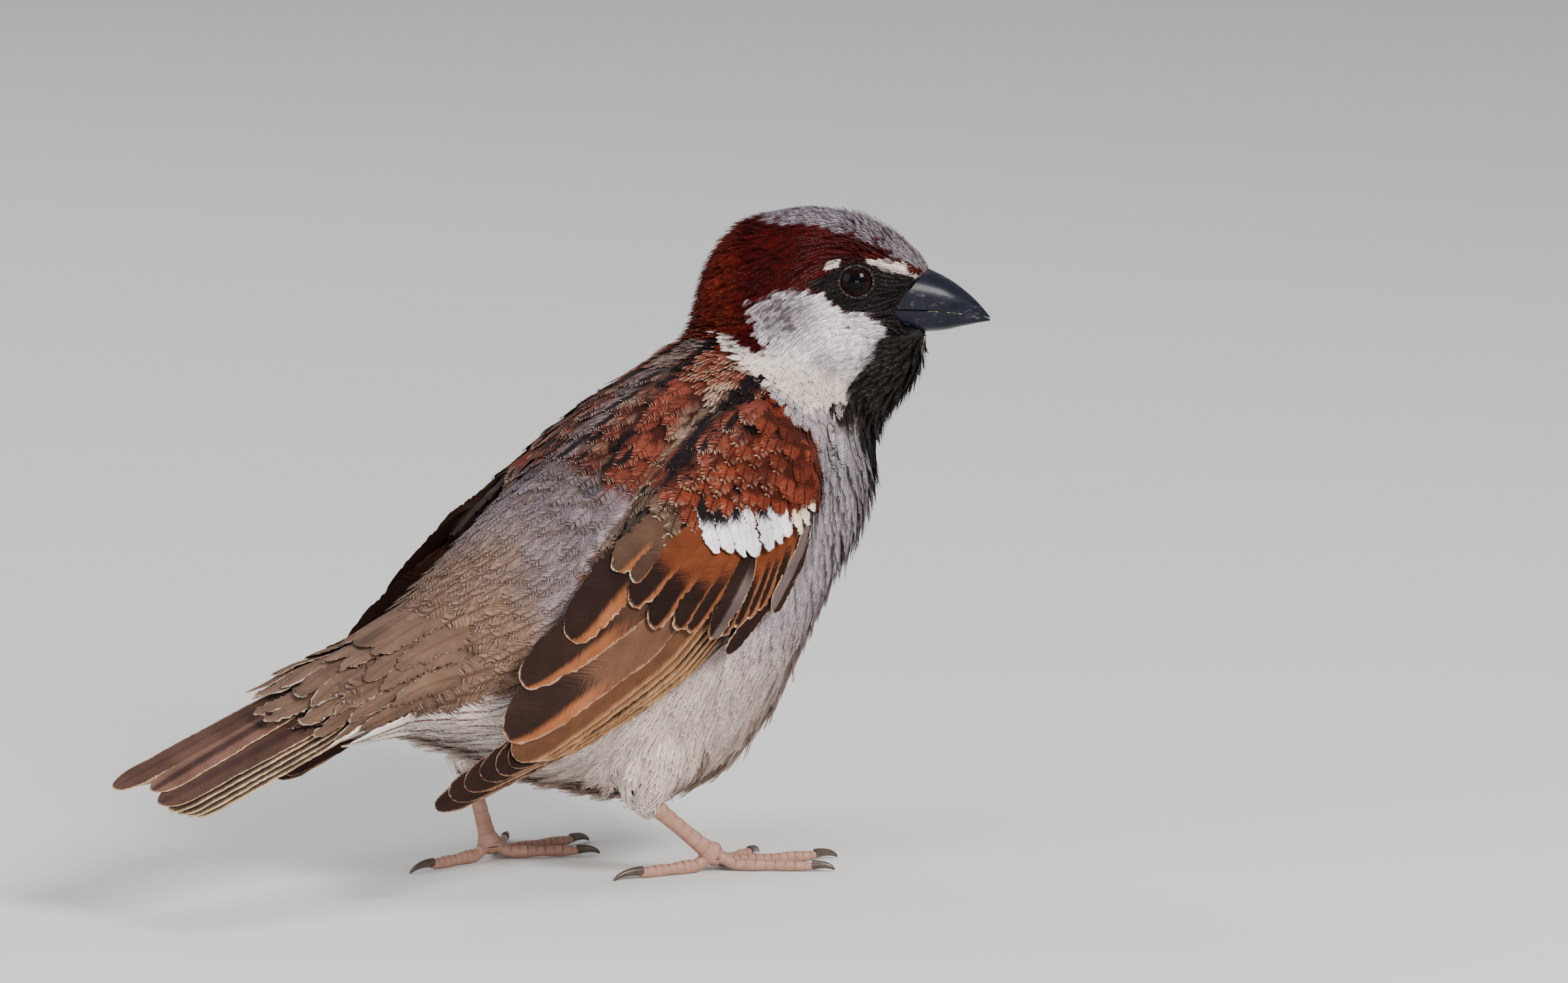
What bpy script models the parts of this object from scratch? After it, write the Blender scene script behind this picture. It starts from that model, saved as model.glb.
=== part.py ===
"""Cock house sparrow, standing, life size: a still model in separate solid pieces.

+X is where the body points, +Y is the bird's left, +Z is up and the soles stand on z = 0.
Design sizes are in millimetres. The body is one rounded form, parted by thin cuts.
"""
import math

import bmesh
import bpy
import numpy as np
from mathutils import Matrix, Vector

MM = 0.001
GAP = 0.3               # between pieces that meet
AROUND = 26             # points round a body section

# The head turns about an upright axis through the neck.
NECK_PIVOT = 28.0       # forward of the origin, on the bird's middle plane
HEAD_TURN = -45.0       # degrees, to the bird's right
HEAD_REACH = 35.0       # head centre along the middle plane
HEAD_HEIGHT = 75.0

# Stations of the body from tail to bill, on the bird's middle plane:
# back (along, up), belly (along, up), half width, turn in degrees.
STATIONS = {
    "tail coverts": ((-50.0, 28.6), (-49.4, 22.8), 8.2, 0),
    "tail root": ((-43.0, 31.8), (-41.5, 21.3), 8.9, 0),
    "rump end": ((-36.5, 35.2), (-31.0, 20.4), 11.0, 0),
    "rump": ((-30.0, 39.2), (-20.0, 17.0), 14.2, 0),
    "loin": ((-22.5, 44.6), (-6.5, 11.4), 17.0, 0),
    "belly": ((-15.5, 50.2), (12.0, 9.0), 18.6, 0),
    "middle": ((-8.5, 55.2), (23.6, 17.8), 19.2, 0),
    "breast": ((-0.5, 61.0), (33.0, 33.2), 19.0, 0),
    "shoulder": ((8.0, 65.4), (39.2, 43.6), 17.0, 0),
    "neck root": ((16.0, 68.4), (42.2, 51.5), 13.4, -8),
    "low neck": ((18.5, 71.2), (43.8, 57.0), 11.4, -18),
    "high neck": ((20.2, 75.0), (45.0, 61.4), 10.3, -30),
    "nape": ((22.5, 79.5), (47.4, 64.6), 9.4, -40),
    "hind crown": ((28.0, 84.0), (48.9, 66.2), 9.4, -45),
    "crown": ((35.0, 86.2), (49.6, 67.3), 9.4, -45),
    "fore crown": ((41.0, 85.0), (50.1, 68.3), 8.8, -45),
    "forehead": ((46.0, 82.0), (50.5, 69.2), 7.0, -45),
    "face": ((49.6, 78.4), (50.8, 70.2), 4.4, -45),
}
# Sections per stretch between stations, and where the flesh is parted.
SECTIONS = 3
LAST_OF_TRUNK_FIELD = "high neck"
CUT = 0.045             # trimmed from each side of a cut, as a share of the stretch
PARTS = (("rump", "tail coverts", "loin"), ("trunk", "loin", "neck root"),
         ("neck", "neck root", "high neck"), ("head", "high neck", "face"))

# Rounded masses of the head, from its centre: (ahead, left, up) and radii.
HEAD_MASSES = (
    ((-1.4, 0.0, 0.1), (13.4, 9.4, 11.0)),
    ((6.2, 0.0, -1.3), (10.2, 7.0, 8.4)),
    ((5.6, 0.0, -8.6), (8.0, 7.6, 8.0)),
    ((0.5, 0.0, -5.6), (8.6, 9.9, 6.0)),
)
EYE = {"ahead": 4.45, "up": 1.2, "ball": 2.9, "shows": 0.75}

# The bill from the head centre: (ahead, top of the culmen) and so on.
CULMEN = ((10.5, 3.9), (13.0, 3.2), (15.2, 2.3), (17.3, 1.2), (19.5, -0.4), (21.3, -2.1), (22.5, -3.75))
GAPE_LINE = ((10.5, -2.3), (13.3, -2.45), (16.4, -2.6), (18.8, -2.95), (20.6, -3.3), (22.3, -3.85))
KEEL = ((10.5, -4.9), (13.0, -5.6), (15.3, -5.65), (16.9, -5.45), (18.8, -5.0), (20.6, -4.6), (22.4, -4.4))
BILL_SECTIONS = (10.5, 12.5, 14.5, 16.5, 18.3, 19.8, 21.0, 21.9, 22.35)
BILL_HALF_WIDTH = ((10.5, 4.1), (13.0, 3.9), (15.5, 3.4), (18.0, 2.55), (20.3, 1.4), (22.5, 0.35))

# The folded wing lies along the flank: its own flat axes are "along", from the wrist back
# to the tip, and "across", from the leading edge up to the trailing edge.
WRIST = (21.0, 49.0)
WING_SLOPE = 27.8       # degrees the tip points below level
LEADING = ((-3.0, 6.0), (-1.4, 1.4), (0.8, -1.2), (4.3, -3.9), (10.7, -6.8), (16.4, -7.9), (26.0, -7.6),
           (36.0, -7.2), (46.0, -7.0), (56.0, -5.6), (65.0, -3.6), (70.0, -1.8), (71.8, 0.0))
TRAILING = ((-3.0, 8.0), (0.0, 13.5), (5.0, 16.6), (14.0, 16.0), (24.0, 13.8), (34.0, 11.2), (45.0, 9.3),
            (54.0, 6.4), (59.0, 4.8), (65.0, 4.0), (70.0, 2.8), (71.8, 1.4))
WING_OUT = ((-3.0, 17.6), (5.0, 20.2), (15.0, 22.0), (30.0, 22.4), (45.0, 21.5), (60.0, 19.7), (71.8, 18.5))
WING_ROUNDING = 0.020   # how fast the wing falls in towards the back
WING_LEAST = 1.1        # thinnest where the body pushes it out
FLANK_ROOM = 0.25       # more than GAP, since the body's own facets are flat
WING_THICK = ((-3.0, 1.6), (20.0, 2.4), (45.0, 2.0), (71.8, 0.8))
WING_CUT = 0.2          # trimmed from each side of a cut
# (piece, start and end along the leading edge, start and end along the trailing edge, steps)
WING_PIECES = (
    ("coverts", (-3.0, 24.0), (-3.0, 33.5), 9),
    ("secondaries", (24.0, 38.0), (33.5, 59.0), 7),
    ("primaries", (38.0, 71.8), (59.0, 71.8), 9),
)

# The tail: two flat halves under the coverts, rolled a little to the bird's right.
TAIL = {"root": (-50.4, 25.8), "slope": 19.0, "length": 27.6, "notch": 2.2, "root_half": 7.8,
        "tip_half": 10.2, "thick": 1.6, "tip_thick": 0.9, "roll": 0.05}

# Legs: the thigh's feathered end, the sole's middle and how the foot points.
LEGS = {
    "right": {"root": (1.0, -11.5, 19.0), "ankle": (-2.4, -13.0, 9.6), "foot": (7.4, -13.0), "turn": -8.0},
    "left": {"root": (-8.0, 11.5, 21.0), "ankle": (-12.7, 13.0, 12.2), "foot": (-9.6, 13.0), "turn": 8.0},
}
SHANK = 0.95            # radius of the tarsus
PALM = 3.0
FOOT_JOINT = 2.2        # height of the shank's lower end
# (toe, direction from the foot's heading, toward the outside, length, half width, claw length)
TOES = ((1, 180.0, 8.2, 0.85, 5.6), (2, -34.0, 9.4, 0.75, 3.8), (3, 0.0, 13.4, 0.8, 4.4),
        (4, 34.0, 10.6, 0.72, 3.6))


def turned(along, up, turn):
    """A point of the middle plane, after that plane is turned about the neck."""
    reach = along - NECK_PIVOT
    angle = math.radians(turn)
    return np.array([NECK_PIVOT + reach * math.cos(angle), reach * math.sin(angle), up])


def head_point(ahead, left, up):
    angle = math.radians(HEAD_TURN)
    base = turned(HEAD_REACH + ahead, HEAD_HEIGHT + up, HEAD_TURN)
    return base + left * np.array([-math.sin(angle), math.cos(angle), 0.0])


def smooth_curve(rows, at):
    """Catmull-Rom through the rows of an array, at station number at."""
    rows = np.asarray(rows, float)
    last = len(rows) - 1
    i = min(int(at), last - 1)
    t = at - i
    before = rows[i - 1] if i > 0 else 2 * rows[0] - rows[1]
    after = rows[i + 2] if i + 2 <= last else 2 * rows[last] - rows[last - 1]
    a, b = rows[i], rows[i + 1]
    return 0.5 * (2 * a + (b - before) * t + (2 * before - 5 * a + 4 * b - after) * t ** 2
                  + (3 * a - before - 3 * b + after) * t ** 3)


def along_table(table, x):
    """Linear reading of ((x, value), ...)."""
    xs, values = zip(*table)
    return np.interp(x, xs, values)


def station_frame(at):
    """Centre, up, left, half depth, half width of the body section at station number at."""
    rows = [[*back, *belly, width, turn] for back, belly, width, turn in STATIONS.values()]
    back_x, back_z, belly_x, belly_z, width, turn = smooth_curve(rows, at)
    back, belly = turned(back_x, back_z, turn), turned(belly_x, belly_z, turn)
    half = (back - belly) / 2
    angle = math.radians(turn)
    left = np.array([-math.sin(angle), math.cos(angle), 0.0])
    depth = np.linalg.norm(half)
    return (back + belly) / 2, half / depth, left, depth, width


def station_number(name):
    return list(STATIONS).index(name)


def trunk_masses():
    """Closely set ellipsoids through the stations of rump, trunk and neck: centres, axes, radii."""
    last = station_number(LAST_OF_TRUNK_FIELD)
    masses = []
    for at in np.linspace(0, last, last * 5 + 1):
        centre, up, left, depth, width = station_frame(at)
        ahead = np.cross(left, up)
        reach = min(7.0, 0.6 * depth + 0.5)
        masses.append((centre, np.array([ahead, left, up]), np.array([reach, width, depth])))
    return masses


def head_masses():
    angle = math.radians(HEAD_TURN)
    axes = np.array([[math.cos(angle), math.sin(angle), 0.0],
                     [-math.sin(angle), math.cos(angle), 0.0], [0.0, 0.0, 1.0]])
    return [(head_point(*centre), axes, np.array(radii)) for centre, radii in HEAD_MASSES]


def ellipsoid_distance(points, mass):
    centre, axes, radii = mass
    local = (points - centre) @ axes.T
    near = np.linalg.norm(local / radii, axis=1)
    far = np.linalg.norm(local / radii ** 2, axis=1)
    return near * (near - 1) / np.maximum(far, 1e-9)


def blended(a, b, width):
    mix = np.clip(0.5 + 0.5 * (b - a) / width, 0, 1)
    return b + (a - b) * mix - width * mix * (1 - mix)


TRUNK_MASSES = trunk_masses()
HEAD_MASS_LIST = head_masses()


def body_distance(points):
    """Below zero inside the rounded body form."""
    trunk = np.min([ellipsoid_distance(points, m) for m in TRUNK_MASSES], axis=0)
    head = ellipsoid_distance(points, HEAD_MASS_LIST[0])
    for mass in HEAD_MASS_LIST[1:]:
        head = blended(head, ellipsoid_distance(points, mass), 2.0)
    return blended(trunk, head, 3.5)


def cast_out(starts, directions, reach=34.0, step=0.4):
    """How far each ray goes from inside the body to its surface."""
    inside = np.zeros(len(starts))
    outside = np.full(len(starts), reach)
    open_rays = np.ones(len(starts), bool)
    for distance in np.arange(step, reach, step):
        crossed = (body_distance(starts + directions * distance) > 0) & open_rays
        outside[crossed] = distance
        inside[open_rays & ~crossed] = distance
        open_rays &= ~crossed
    for _ in range(12):
        middle = (inside + outside) / 2
        out = body_distance(starts + directions * middle[:, None]) > 0
        outside = np.where(out, middle, outside)
        inside = np.where(out, inside, middle)
    return (inside + outside) / 2


def body_rings(first, last, count, inflate=0.0):
    """Evenly spaced sections of the body form between two station numbers."""
    turns = np.linspace(0, 2 * math.pi, AROUND, endpoint=False)
    starts, directions = [], []
    for at in np.linspace(first, last, count):
        centre, up, left, _, _ = station_frame(at)
        starts.append(np.repeat(centre[None], AROUND, axis=0))
        directions.append(np.cos(turns)[:, None] * up + np.sin(turns)[:, None] * left)
    starts, directions = np.concatenate(starts), np.concatenate(directions)
    points = starts + directions * (cast_out(starts, directions) + inflate)[:, None]
    return points.reshape(count, AROUND, 3)


def flank_width(x, z):
    """How far out to the side the body reaches at each (x, z), 0 where there is none."""
    found = np.zeros(len(x))
    for reach in np.arange(22.0, 0.0, -0.15):
        for side in (-1, 1):
            inside = body_distance(np.column_stack([x, np.full(len(x), side * reach), z])) < 0
            found = np.where(inside & (found == 0), reach, found)
    return found


def material(name, colour, roughness, metallic=0.0):
    made = bpy.data.materials.get(name)
    if made is None:
        made = bpy.data.materials.new(name)
        made.use_nodes = True
        shader = made.node_tree.nodes["Principled BSDF"]
        shader.inputs["Base Color"].default_value = (*colour, 1.0)
        shader.inputs["Roughness"].default_value = roughness
        shader.inputs["Metallic"].default_value = metallic
    return made


FINISHES = {
    "crown_grey": ((0.17, 0.16, 0.17), 0.8),
    "mantle_chestnut": ((0.22, 0.05, 0.02), 0.8),
    "belly_grey": ((0.42, 0.39, 0.38), 0.85),
    "rump_grey": ((0.27, 0.23, 0.19), 0.85),
    "wing_brown": ((0.16, 0.08, 0.045), 0.7),
    "tail_brown": ((0.13, 0.085, 0.06), 0.7),
    "bill_black": ((0.02, 0.02, 0.027), 0.35),
    "eye_brown": ((0.018, 0.008, 0.006), 0.08),
    "leg_pink": ((0.36, 0.17, 0.12), 0.5),
    "claw_brown": ((0.05, 0.03, 0.025), 0.4),
}


def new_object(name, bm, finish):
    """Turns a bmesh built in millimetres into one named object, smooth with crisp rims."""
    bmesh.ops.recalc_face_normals(bm, faces=bm.faces)
    bmesh.ops.scale(bm, vec=(MM, MM, MM), verts=bm.verts)
    mesh = bpy.data.meshes.new(name)
    bm.to_mesh(mesh)
    bm.free()
    mesh.shade_smooth()
    mesh.set_sharp_from_angle(angle=math.radians(50))
    made = bpy.data.objects.new(name, mesh)
    bpy.context.scene.collection.objects.link(made)
    colour, roughness = FINISHES[finish]
    mesh.materials.append(material(finish, colour, roughness))
    return made


def loft(rings):
    """A closed skin over rings of equally many points, with flat fans at both ends."""
    bm = bmesh.new()
    loops = [[bm.verts.new(Vector(p)) for p in ring] for ring in rings]
    for low, high in zip(loops, loops[1:]):
        for k in range(len(low)):
            after = (k + 1) % len(low)
            bm.faces.new((low[k], low[after], high[after], high[k]))
    for loop in (loops[0][::-1], loops[-1]):
        cap = bm.faces.new(loop)
        bmesh.ops.poke(bm, faces=[cap])
    return bm


def plate(outer, inner):
    """A closed plate between two grids of points, arrays of the shape (rows, columns, 3)."""
    rows, columns, _ = outer.shape
    bm = bmesh.new()
    sheets = [[[bm.verts.new(Vector(p)) for p in row] for row in grid] for grid in (outer, inner)]
    for sheet in sheets:
        for i in range(rows - 1):
            for j in range(columns - 1):
                bm.faces.new((sheet[i][j], sheet[i + 1][j], sheet[i + 1][j + 1], sheet[i][j + 1]))
    rim = [(i, 0) for i in range(rows)] + [(rows - 1, j) for j in range(1, columns)]
    rim += [(i, columns - 1) for i in range(rows - 2, -1, -1)] + [(0, j) for j in range(columns - 2, 0, -1)]
    for (i, j), (k, m) in zip(rim, rim[1:] + rim[:1]):
        bm.faces.new((sheets[0][i][j], sheets[0][k][m], sheets[1][k][m], sheets[1][i][j]))
    return bm


def boolean(target, cutter, operation):
    """Applies a Boolean at once and removes its second object."""
    modifier = target.modifiers.new(operation.lower(), "BOOLEAN")
    modifier.operation = operation
    modifier.object = cutter
    graph = bpy.context.evaluated_depsgraph_get()
    result = bpy.data.meshes.new_from_object(target.evaluated_get(graph), depsgraph=graph)
    target.modifiers.clear()
    target.data = result
    bpy.data.objects.remove(cutter)


def tube_ring(centre, axis, side, half_side, half_other, count=8):
    """An oval ring square to axis; half_side is its radius along side."""
    axis = Vector(axis).normalized()
    side = (Vector(side) - axis * Vector(side).dot(axis)).normalized()
    other = axis.cross(side)
    turns = [2 * math.pi * k / count for k in range(count)]
    return [Vector(centre) + side * half_side * math.cos(t) + other * half_other * math.sin(t) for t in turns]


def build_body():
    """Rump, trunk, neck and head, cut from one form by thin gaps."""
    finishes = {"rump": "rump_grey", "trunk": "belly_grey", "neck": "crown_grey", "head": "crown_grey"}
    parts = {}
    for name, first, last in PARTS:
        low, high = station_number(first), station_number(last)
        start = low + (CUT if name != "rump" else 0)
        end = high - (CUT if name != "head" else 0)
        rings = body_rings(start, end, (high - low) * SECTIONS + 1)
        parts[name] = new_object(name, loft(rings), finishes[name])
    return parts


def bill_half(name, low_edge, high_edge, arched, grow=0.0, setback=0.0):
    """Half of the bill, flat along the gape and rounded on its other side, above if arched."""
    rings = []
    for ahead in BILL_SECTIONS:
        flat, crest = along_table(low_edge, ahead), along_table(high_edge, ahead) + grow
        if not arched:
            flat, crest = along_table(high_edge, ahead), along_table(low_edge, ahead) - grow
        half = along_table(BILL_HALF_WIDTH, ahead) + grow
        ring = []
        for t in np.linspace(0, math.pi, 11):
            up = flat + (crest - flat) * math.sin(t) ** 0.85
            ring.append(head_point(ahead - setback, half * math.cos(t), up))
        ring += [head_point(ahead - setback, -half * 0.5, flat), head_point(ahead - setback, half * 0.5, flat)]
        rings.append(ring)
    return new_object(name, loft(rings), "bill_black")


def build_bill(head):
    """Two horny halves, and the room for them in the face."""
    lower_gape = tuple((ahead, up - GAP / 2) for ahead, up in GAPE_LINE)
    upper_gape = tuple((ahead, up + GAP / 2) for ahead, up in GAPE_LINE)
    slot_low = tuple((ahead, up - 1.0) for ahead, up in GAPE_LINE)
    slot_high = tuple((ahead, up + 1.0) for ahead, up in GAPE_LINE)
    for low_edge, high_edge, arched in ((upper_gape, CULMEN, True), (KEEL, lower_gape, False),
                                        (slot_low, slot_high, True)):
        room = bill_half("room", low_edge, high_edge, arched, GAP, GAP)
        boolean(head, room, "DIFFERENCE")
    bill_half("bill_upper", upper_gape, CULMEN, True)
    bill_half("bill_lower", KEEL, lower_gape, False)


def ball(name, centre, radius, finish):
    bm = bmesh.new()
    bmesh.ops.create_uvsphere(bm, u_segments=16, v_segments=10, radius=radius,
                              matrix=Matrix.Translation(Vector(centre)))
    return new_object(name, bm, finish)


def eye_centre(side):
    """The ball stands EYE["shows"] proud of the face."""
    start = head_point(EYE["ahead"], 0, EYE["up"])
    out = head_point(0.12, side, 0.05) - head_point(0, 0, 0)
    out /= np.linalg.norm(out)
    reach = cast_out(start[None], out[None])[0]
    return start + out * (reach + EYE["shows"] - EYE["ball"])


def build_eyes(head):
    for side, name in ((1, "eye_left"), (-1, "eye_right")):
        centre = eye_centre(side)
        boolean(head, ball("socket", centre, EYE["ball"] + GAP, "crown_grey"), "DIFFERENCE")
        ball(name, centre, EYE["ball"], "eye_brown")


def wing_point(along, across):
    """(x, z) in the side view of a point of the flat wing."""
    slope = math.radians(WING_SLOPE)
    back = np.array([-math.cos(slope), -math.sin(slope)])
    up = np.array([-math.sin(slope), math.cos(slope)])
    return np.array(WRIST) + along * back + across * up


def wing_grid(low, high, steps, columns=7):
    """Outer and inner points of one piece of the right wing."""
    outer, thick = [], []
    for i in range(steps + 1):
        for j in range(columns):
            w = j / (columns - 1)
            start = low[0] + (high[0] - low[0]) * w
            end = low[1] + (high[1] - low[1]) * w
            along = start + (end - start) * i / steps
            across = along_table(LEADING, along) * (1 - w) + along_table(TRAILING, along) * w
            out = along_table(WING_OUT, along) - WING_ROUNDING * (across + 3.0) ** 2
            x, z = wing_point(along, across)
            outer.append((x, out, z))
            thick.append(along_table(WING_THICK, along))
    outer, thick = np.array(outer), np.array(thick)
    body = flank_width(outer[:, 0], outer[:, 2])
    body = np.where(body > 0, body + GAP + FLANK_ROOM, 0)
    out = np.maximum(outer[:, 1], body + WING_LEAST)
    inside = np.maximum(out - thick, body)
    shape = (steps + 1, columns, 3)
    return (np.column_stack([outer[:, 0], out, outer[:, 2]]).reshape(shape),
            np.column_stack([outer[:, 0], inside, outer[:, 2]]).reshape(shape))


def build_wings():
    for piece, lead, trail, steps in WING_PIECES:
        start = WING_CUT if piece != "coverts" else 0
        end = WING_CUT if piece != "primaries" else 0
        low = (lead[0] + start, lead[1] - end)
        high = (trail[0] + start, trail[1] - end)
        outer, inner = wing_grid(low, high, steps)
        for side, name in ((-1, "right"), (1, "left")):
            mirror = np.array([1, side, 1])
            new_object(f"wing_{name}_{piece}", plate(outer * mirror, inner * mirror), "wing_brown")


def tail_point(along, across, lift):
    slope = math.radians(TAIL["slope"])
    root_x, root_z = TAIL["root"]
    x = root_x - along * math.cos(slope) - lift * math.sin(slope)
    z = root_z - along * math.sin(slope) + lift * math.cos(slope)
    return (x, across, z + TAIL["roll"] * across)


def build_tail():
    steps, columns = 9, 6
    for side, name in ((-1, "tail_right"), (1, "tail_left")):
        sheets = []
        for face in (1, -1):
            grid = []
            for i in range(steps + 1):
                row = []
                for j in range(columns):
                    w = j / (columns - 1)
                    rounding = 2.6 * max(0.0, (w - 0.72) / 0.28) ** 2
                    end = TAIL["length"] - TAIL["notch"] * (1 - w) ** 2 - rounding
                    along = end * i / steps
                    reach = along / TAIL["length"]
                    half = TAIL["root_half"] + (TAIL["tip_half"] - TAIL["root_half"]) * reach
                    thick = TAIL["thick"] + (TAIL["tip_thick"] - TAIL["thick"]) * reach
                    across = GAP / 2 + (half - GAP / 2) * w
                    row.append(tail_point(along, side * across, face * thick / 2))
                grid.append(row)
            sheets.append(np.array(grid))
        new_object(name, plate(*sheets), "tail_brown")


def curved_tube(path, widths, heights):
    """Rings along a path of points that bends in an upright plane."""
    path = [Vector(p) for p in path]
    rings = []
    for i, point in enumerate(path):
        axis = path[min(i + 1, len(path) - 1)] - path[max(i - 1, 0)]
        level = Vector((-axis.y, axis.x, 0))
        rings.append(tube_ring(point, axis, level, widths[i], heights[i]))
    return rings


def shank_ends(leg):
    return Vector(leg["ankle"]), Vector((*leg["foot"], FOOT_JOINT))


def build_thigh(side, leg):
    """The feathered part, which bends at its end into the line of the tarsus."""
    ankle, joint = shank_ends(leg)
    root = Vector(leg["root"])
    bend = ankle - (joint - ankle).normalized() * 5.0
    rings = []
    for t, wide, deep in ((0.0, 5.0, 7.5), (0.25, 4.8, 7.0), (0.5, 4.1, 5.4), (0.7, 3.2, 3.9), (0.86, 2.3, 2.6),
                          (1.0, 1.5, 1.7)):
        centre = root.lerp(bend, t).lerp(bend.lerp(ankle, t), t)
        axis = (bend - root).lerp(ankle - bend, t)
        rings.append(tube_ring(centre, axis, (0, 1, 0), wide, deep, 14))
    return new_object(f"leg_{side}_thigh", loft(rings), "belly_grey")


def build_shank(side, leg):
    """The tarsus and the palm under it, in one piece with a flat sole."""
    ankle, joint = shank_ends(leg)
    sole = Vector((*leg["foot"], 0.0))
    axis = (joint - ankle).normalized()
    rings = [tube_ring(ankle + axis * (GAP + 0.1), axis, (0, 1, 0), SHANK * 1.05, SHANK * 1.25, 12)]
    for t, grow in ((0.35, 1.0), (0.7, 1.0), (0.88, 1.15)):
        rings.append(tube_ring(ankle.lerp(joint, t), axis, (0, 1, 0), SHANK * grow, SHANK * grow * 1.15, 12))
    for up, radius in ((2.3, 1.9), (1.5, PALM), (0.5, PALM), (0.0, PALM - 0.5)):
        tilt = axis.lerp(Vector((0, 0, -1)), 1 - up / 4.6)
        rings.append(tube_ring(sole + Vector((0, 0, up)), tilt if up > 2 else (0, 0, -1), (0, 1, 0),
                               radius, radius, 12))
    for point in rings[-1]:
        point.z = 0.0
    return new_object(f"leg_{side}_tarsus", loft(rings), "leg_pink")


def build_toe(side, leg, toe):
    number, aim, length, half, claw = toe
    outward = 1 if side == "left" else -1
    heading = math.radians(leg["turn"] + outward * aim)
    along = Vector((math.cos(heading), math.sin(heading), 0))
    sole = Vector((*leg["foot"], 0.0))
    start, end = PALM + GAP + 0.1, PALM + length
    path, widths, heights = [], [], []
    steps = 9
    for i in range(steps + 1):
        t = i / steps
        knuckle = 0.5 + 0.5 * math.cos(2 * math.pi * 2.0 * t)
        tip = 1.0 - 0.25 * t
        swell = tip * (0.88 + 0.16 * knuckle)
        path.append(sole + along * (start + (end - start) * t) + Vector((0, 0, 0.95 * tip)))
        widths.append(half * swell)
        heights.append(1.02 * tip * (0.92 + 0.12 * knuckle))
    bm = loft(curved_tube(path, widths, heights))
    for vertex in bm.verts:                       # the underside stands flat on the floor
        vertex.co.z = max(vertex.co.z, 0.0)
    new_object(f"foot_{side}_toe_{number}", bm, "leg_pink")
    path, radii = [], []
    for i in range(8):
        t = i / 7
        bend = math.radians(12 + 62 * t)
        reach = end + GAP + claw * (math.sin(bend) - math.sin(math.radians(12))) / 1.05
        up = 0.62 + claw * 0.30 * (math.cos(bend * 0.9) - 0.80) + 0.75 * t * (1 - t)
        path.append(sole + along * reach + Vector((0, 0, up)))
        radii.append(0.52 - 0.27 * t)
    bm = loft(curved_tube(path, radii, [r * 1.15 for r in radii]))
    lowest = min(v.co.z for v in bm.verts)
    bmesh.ops.translate(bm, verts=bm.verts, vec=(0, 0, max(0.0, 0.03 - lowest)))
    new_object(f"foot_{side}_claw_{number}", bm, "claw_brown")


def inflated_trunk():
    first, last = station_number("tail root"), station_number("shoulder")
    rings = body_rings(first, last, (last - first) * SECTIONS + 1, GAP)
    return new_object("trunk_room", loft(rings), "belly_grey")


def build_legs():
    for side, leg in LEGS.items():
        thigh = build_thigh(side, leg)
        boolean(thigh, inflated_trunk(), "DIFFERENCE")
        build_shank(side, leg)
        for toe in TOES:
            build_toe(side, leg, toe)


def centre_on_floor():
    """Puts the middle of the whole model's outline, seen from above, over the origin."""
    meshes = [obj.data for obj in bpy.data.objects]
    points = np.concatenate([[v.co[:] for v in mesh.vertices] for mesh in meshes])
    middle = (points.min(axis=0) + points.max(axis=0)) / 2
    shift = Matrix.Translation((-middle[0], -middle[1], -points[:, 2].min()))
    for mesh in meshes:
        mesh.transform(shift)


def main():
    for obj in list(bpy.data.objects):
        bpy.data.objects.remove(obj)
    parts = build_body()
    build_bill(parts["head"])
    build_eyes(parts["head"])
    build_wings()
    build_tail()
    build_legs()
    centre_on_floor()


main()
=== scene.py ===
import math

import bmesh
import bpy
import numpy as np
from mathutils import Matrix, Vector
from mathutils.bvhtree import BVHTree
from mathutils.kdtree import KDTree


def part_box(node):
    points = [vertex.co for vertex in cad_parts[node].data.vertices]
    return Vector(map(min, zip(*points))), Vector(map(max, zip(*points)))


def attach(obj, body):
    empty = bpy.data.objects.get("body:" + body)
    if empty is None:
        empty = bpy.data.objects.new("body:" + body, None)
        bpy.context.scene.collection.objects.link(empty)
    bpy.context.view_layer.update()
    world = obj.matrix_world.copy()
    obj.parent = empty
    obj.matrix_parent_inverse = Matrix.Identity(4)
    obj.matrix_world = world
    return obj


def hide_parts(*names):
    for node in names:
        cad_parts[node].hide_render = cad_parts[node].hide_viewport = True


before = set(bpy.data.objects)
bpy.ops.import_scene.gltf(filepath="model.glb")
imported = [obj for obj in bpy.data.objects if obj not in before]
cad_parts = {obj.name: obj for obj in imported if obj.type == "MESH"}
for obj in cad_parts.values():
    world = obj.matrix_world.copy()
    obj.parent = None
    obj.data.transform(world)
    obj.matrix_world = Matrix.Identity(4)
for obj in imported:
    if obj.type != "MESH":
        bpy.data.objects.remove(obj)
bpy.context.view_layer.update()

# Places are worked out in bird millimetres: along the body, to its left, up from the soles.
bird = {"forward": 13.654, "neckPivot": 28.0, "headTurn": -45.0, "headReach": 35.0, "headHeight": 75.0}
upward = np.array([0.0, 0.0, 1.0])
headAngle = math.radians(bird["headTurn"])
headForward = np.array([math.cos(headAngle), math.sin(headAngle), 0.0])
headLeft = np.array([-math.sin(headAngle), math.cos(headAngle), 0.0])
headMiddle = (np.array([bird["neckPivot"], 0.0, bird["headHeight"]])
              + headForward * (bird["headReach"] - bird["neckPivot"]))


def toModel(points):
    return (np.asarray(points, float) + (bird["forward"], 0, 0)) / 1000


def toBird(points):
    return np.asarray(points, float) * 1000 - (bird["forward"], 0, 0)


def headPoint(ahead, left, up):
    return headMiddle + ahead * headForward + left * headLeft + up * upward


def headPlace(points):
    away = points - headMiddle
    return away @ headForward, away @ headLeft, away[:, 2]


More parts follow.
